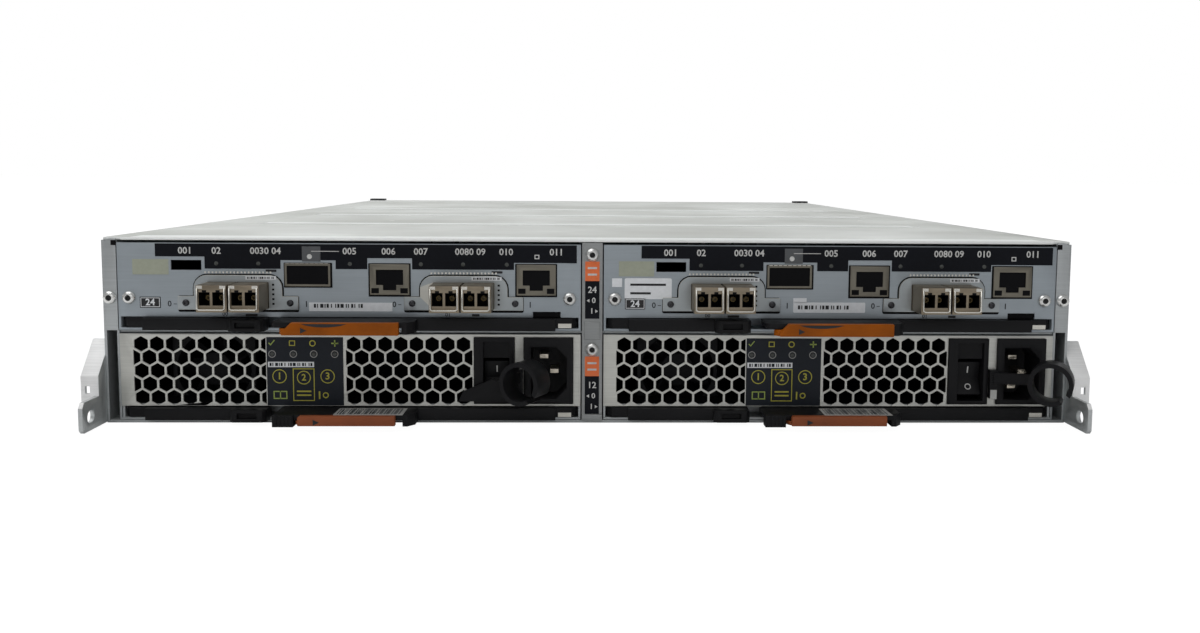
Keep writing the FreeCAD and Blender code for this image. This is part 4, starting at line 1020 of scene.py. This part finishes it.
def label_of_supply(unit):
    """Ringed lamps, small marks, a barred strip and plain numbered fields on a dark label."""
    node = unit + "_grille"
    corner = corner_of(unit + "_case")
    parts, add = printed_parts()
    add(plate(66.6, 101.6, 6.6, 38.4, film_depth), 0, y=0)
    for u in supply_lamp_places:
        add(ring(u, 30.6, 1.75, 1.35), 4)
    add(flat_cut([scaled(tick)]), 3)
    add(outlined(76.9, 79.7, 34.4, 36.9, 0.4), 2)
    add(ring(87.6, 35.6, 1.5, 1.0), 2)
    add(plate(96.2, 99.4, 35.3, 35.9), 3)
    add(plate(97.5, 98.1, 34.1, 37.1), 3)
    add(plate(67.1, 88.2, 24.5, 27.0), 1)
    add(bars(67.9, 87.4, 25.0, 26.5), 0, y=-film_depth - ink_depth)
    for u, text in ((72.3, "1"), (94.3, "3")):
        add(ring(u, 20.2, 3.3, 2.9), 2)
        add(numeral(text, 3.2), 2, u, 20.2)
    add(outlined(78.4, 88.3, 8.7, 23.9, 0.4), 2)
    add(ring(83.4, 19.6, 3.2, 2.8), 2)
    add(numeral("2", 3.0), 2, 83.4, 19.6)
    for row in (11.4, 13.2):
        add(plate(80.1, 86.7, row - 0.35, row + 0.35), 2)
    add(outlined(69.4, 75.7, 9.6, 13.4, 0.5), 3)
    add(plate(72.3, 72.8, 9.6, 13.4), 3)
    add(ring(93.3, 11.4, 1.4, 0.9), 2)
    add(plate(90.1, 90.8, 9.6, 13.2), 2)
    put(unit + "_label", gathered(parts, corner), node, night_label, white_paper, yellow_ink, green_ink,
        grey_ink)
    spots = spots_at([(u, -film_depth / mm, 30.6) for u in supply_lamp_places], corner)
    set_out(unit + "_lamps", lamp_mesh, spots, node, lamp_lens)


for unit in supplies:
    case_low, case_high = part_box(unit + "_case")
    corner = corner_of(unit + "_case")
    fan_x = corner.x + 36.0 * mm

    def is_fan(face):
        """The fan's square frame and its bearing boss are black plastic."""
        x, y, z = face.center
        inside = abs(x - fan_x) < 20 * mm and rear + 19.5 * mm < y < rear + 46.5 * mm
        return 1 if inside and case_low.z + 0.4 * mm < z < case_high.z - 0.4 * mm else 0

    formed(unit + "_case", 0.15 * mm, zinc, black_moulding, part_of=is_fan)
    formed(unit + "_grille", 0.09 * mm, grille_sheet)
    formed(unit + "_rotor", 0.2 * mm, rotor_plastic)
    wide, tall = (case_high.x - case_low.x) / mm, (case_high.z - case_low.z) / mm
    # Black sheets inside the case: painted shade, standing also for the dark parts within.
    sizes = lining(1.05, wide - 1.05, 7.15, tall - 1.05, 2.0, 19.5, 0.15)[:4]
    sizes += lining(1.05, 16.0, 7.15, tall - 1.05, 19.0, 60.0, 0.15)
    sizes += lining(56.0, wide - 1.05, 7.15, tall - 1.05, 19.0, 60.0, 0.15)
    sizes.append(((1.2, 60.0, 7.3), (wide - 1.2, 60.3, tall - 1.2)))
    put(unit + "_liner", boxes(sizes, corner), unit + "_power_entry", insert_and_shade_black)
    label_of_supply(unit)


# ---- Mains entry ----
# Black moulded housing with the rocker switch and the mains inlet; three bright blades stand in the
# inlet's mouth. A plug clamp hangs beside it on a toothed strap.
blade_steel = sheet_metal("blade_finish", (0.72, 0.66, 0.55), 0.25, metal=0.95, dust=0.0)
blade_places = ((-2.4, 7.0), (-2.4, -7.0), (2.4, 0.0))
rocker_slope = 18.9
strap_tooth = boxes([((-1.2, -0.25, -0.25), (1.2, 0.2, 0.25))])

for unit in supplies:
    corner = corner_of(unit + "_case")
    inlet_x, inlet_z = corner.x + 196.2 * mm, corner.z + 22.0 * mm

    def is_blade(face):
        """The three blades in the inlet's mouth are bright steel."""
        x, y, z = face.center
        near = any(abs(x - inlet_x - u * mm) < 2.1 * mm and abs(z - inlet_z - w * mm) < 1.1 * mm
                   for u, w in blade_places)
        return 1 if near and rear + 4.8 * mm < y < rear + 16.8 * mm else 0

    formed(unit + "_power_entry", 0.3 * mm, black_moulding, blade_steel, part_of=is_blade)
    formed(unit + "_rocker", 0.3 * mm, black_moulding)
    formed(unit + "_cord_clamp", 0.3 * mm, black_moulding)

    one = plate(-0.3, 0.3, -1.6, 1.6)
    zero = ring(0, 0, 1.5, 1.05)
    for mark, way in ((one, 1), (zero, -1)):
        slope = Matrix.Rotation(radians(rocker_slope * way), 4, "X")
        mark.transform(Matrix.Translation((0, 2.82 * mm, 4.0 * mm * way)) @ slope)
    marks = gathered([(one, 0), (zero, 0)])
    pivot = Matrix.Translation((0, 6.0 * mm, 0))
    marks.transform(pivot @ Matrix.Rotation(radians(-8.0), 4, "X") @ pivot.inverted())
    marks.transform(Matrix.Translation((corner.x + 172.0 * mm, rear, corner.z + 18.9 * mm)))
    put(unit + "_rocker_marks", marks, unit + "_rocker", white_ink)

    node = unit + "_cord_clamp"
    window_spot = spots_at([(182.45, -3.0, 12.6)], corner)[0]
    put(unit + "_strap_window", boxes([((-1.5, -0.12, -2.2), (1.5, 0, 2.2))], window_spot), node, light_tape)
    spots = spots_at([(182.45, -3.0, 11.0 + 1.1 * k) for k in range(6, 12)], corner)
    set_out(unit + "_strap_teeth", strap_tooth, spots, node, black_moulding)


# ---- Front: ears, operation panel, carriers ----
# Black painted rack ears, a small panel with the power button on one of them, and twelve carriers with
# a pull lever, a perforated air slot and two lamps each.
ear_paint = moulded("ear_paint", (0.022, 0.022, 0.024), 0.4, 0.08)
grey_moulding = moulded("grey_moulding", (0.10, 0.105, 0.11), 0.4)
button_grey = moulded("button_grey", (0.34, 0.35, 0.36), 0.35)
drive_metal = sheet_metal("drive_finish", (0.42, 0.43, 0.44), 0.34, metal=0.85, clouds=0.08)
green_lens = film("green_lens", (0.05, 0.22, 0.09), 0.2)
for node in ("rack_ear_left", "rack_ear_right"):
    formed(node, 0.35 * mm, ear_paint)
formed("operation_panel", 0.4 * mm, black_moulding)
formed("power_button", 0.4 * mm, button_grey)

front_lamp = lamp_mesh.copy()
front_lamp.transform(Matrix.Rotation(pi, 4, "Z"))
panel_front = box_of("operation_panel")[4]
x0, _, _, x1, _, button_top = box_of("power_button")
spots = spots_at([((x0 + x1) / 2, panel_front, button_top + 4.0 + 4.2 * k) for k in range(3)])
set_out("panel_lamps", front_lamp, spots, "operation_panel", green_lens)

air_bar = boxes([((-0.45, -9.0, 0), (0.45, -8.2, 17.5))])
face_thickness = 24.05
for index in range(12):
    node = "drive_%02d" % (index + 1)
    x0, _, z0, x1, top, z1 = box_of(node)

    def is_face(face):
        """The moulded front of a carrier; the drive behind it is metal."""
        return 1 if face.center.y > (top - face_thickness) * mm else 0

    formed(node, 0.25 * mm, drive_metal, grey_moulding, part_of=is_face)
    middle_z = (z0 + z1) / 2
    lever = boxes([((x0 + 15.0, top - 0.55, middle_z - 2.9), (x1 - 5.0, top - 0.1, middle_z + 2.9)),
                   ((x1 - 11.0, top - 0.6, middle_z - 2.2), (x1 - 6.0, top + 0.02, middle_z + 2.2))])
    put(node + "_pull", lever, node, black_moulding)
    tab = boxes([((x0 + 2.0, top - 0.3, z0 + 2.2), (x0 + 12.0, top + 0.02, z1 - 9.5))])
    put(node + "_tab", tab, node, grey_tape)
    spots = spots_at([(x0 + 4.4, top, z1 - 5.2), (x0 + 9.6, top, z1 - 5.2)])
    set_out(node + "_lamps", front_lamp, spots, node, green_lens)
    spots = spots_at([(x0 + 19.0 + 2.3 * k, top, z0 + 5.6) for k in range(int((x1 - x0 - 26) / 2.3))])
    set_out(node + "_air_bars", air_bar, spots, node, grey_moulding)


# ---- Boards ----
# Green fibreglass boards with an aluminium heat sink, black plug housings and rows of small chips,
# soldered to their upper face. The midplane stands upright between the drives and the modules.
board_green = film("board_green", (0.015, 0.10, 0.045), 0.35, 0.25)
aluminium = sheet_metal("heat_sink_finish", (0.62, 0.63, 0.64), 0.3, metal=0.9, dust=0.05)
chip_black = film("chip_black", (0.02, 0.02, 0.021), 0.38)
formed("midplane_board", 0.1 * mm, board_green)
chip = boxes([((-4.5, -3.5, 0), (4.5, 3.5, 1.2))])
small_chip = boxes([((-1.0, -0.6, 0), (1.0, 0.6, 0.7))])
picker = random.Random(9)
for unit in controllers:
    node = unit + "_board"
    corner = corner_of(unit + "_tray")
    top = corner.z + 16.4 * mm

    def kind(face):
        """Board, heat sink near the rear or plug housings at the far end."""
        _, y, z = face.center
        if z <= top + 0.05 * mm:
            return 0
        if y < rear + 245 * mm:
            return 1
        return 2 if y > rear + 400 * mm else 0

    formed(node, 0.1 * mm, board_green, aluminium, black_moulding, part_of=kind)
    places = [(u, y, 16.4) for u in (20, 36, 160, 178, 192) for y in (110, 150, 195, 330, 365)]
    set_out(unit + "_chips", chip, spots_at(places, corner), node, chip_black)
    places = []
    while len(places) < 90:
        u, y = picker.uniform(14, 198), picker.uniform(80, 400)
        if 56 < u < 144 and 146 < y < 244 or 46 < u < 187 and 276 < y < 303:
            continue
        places.append((u, y, 16.4))
    set_out(unit + "_small_chips", small_chip, spots_at(places, corner), node, chip_black)
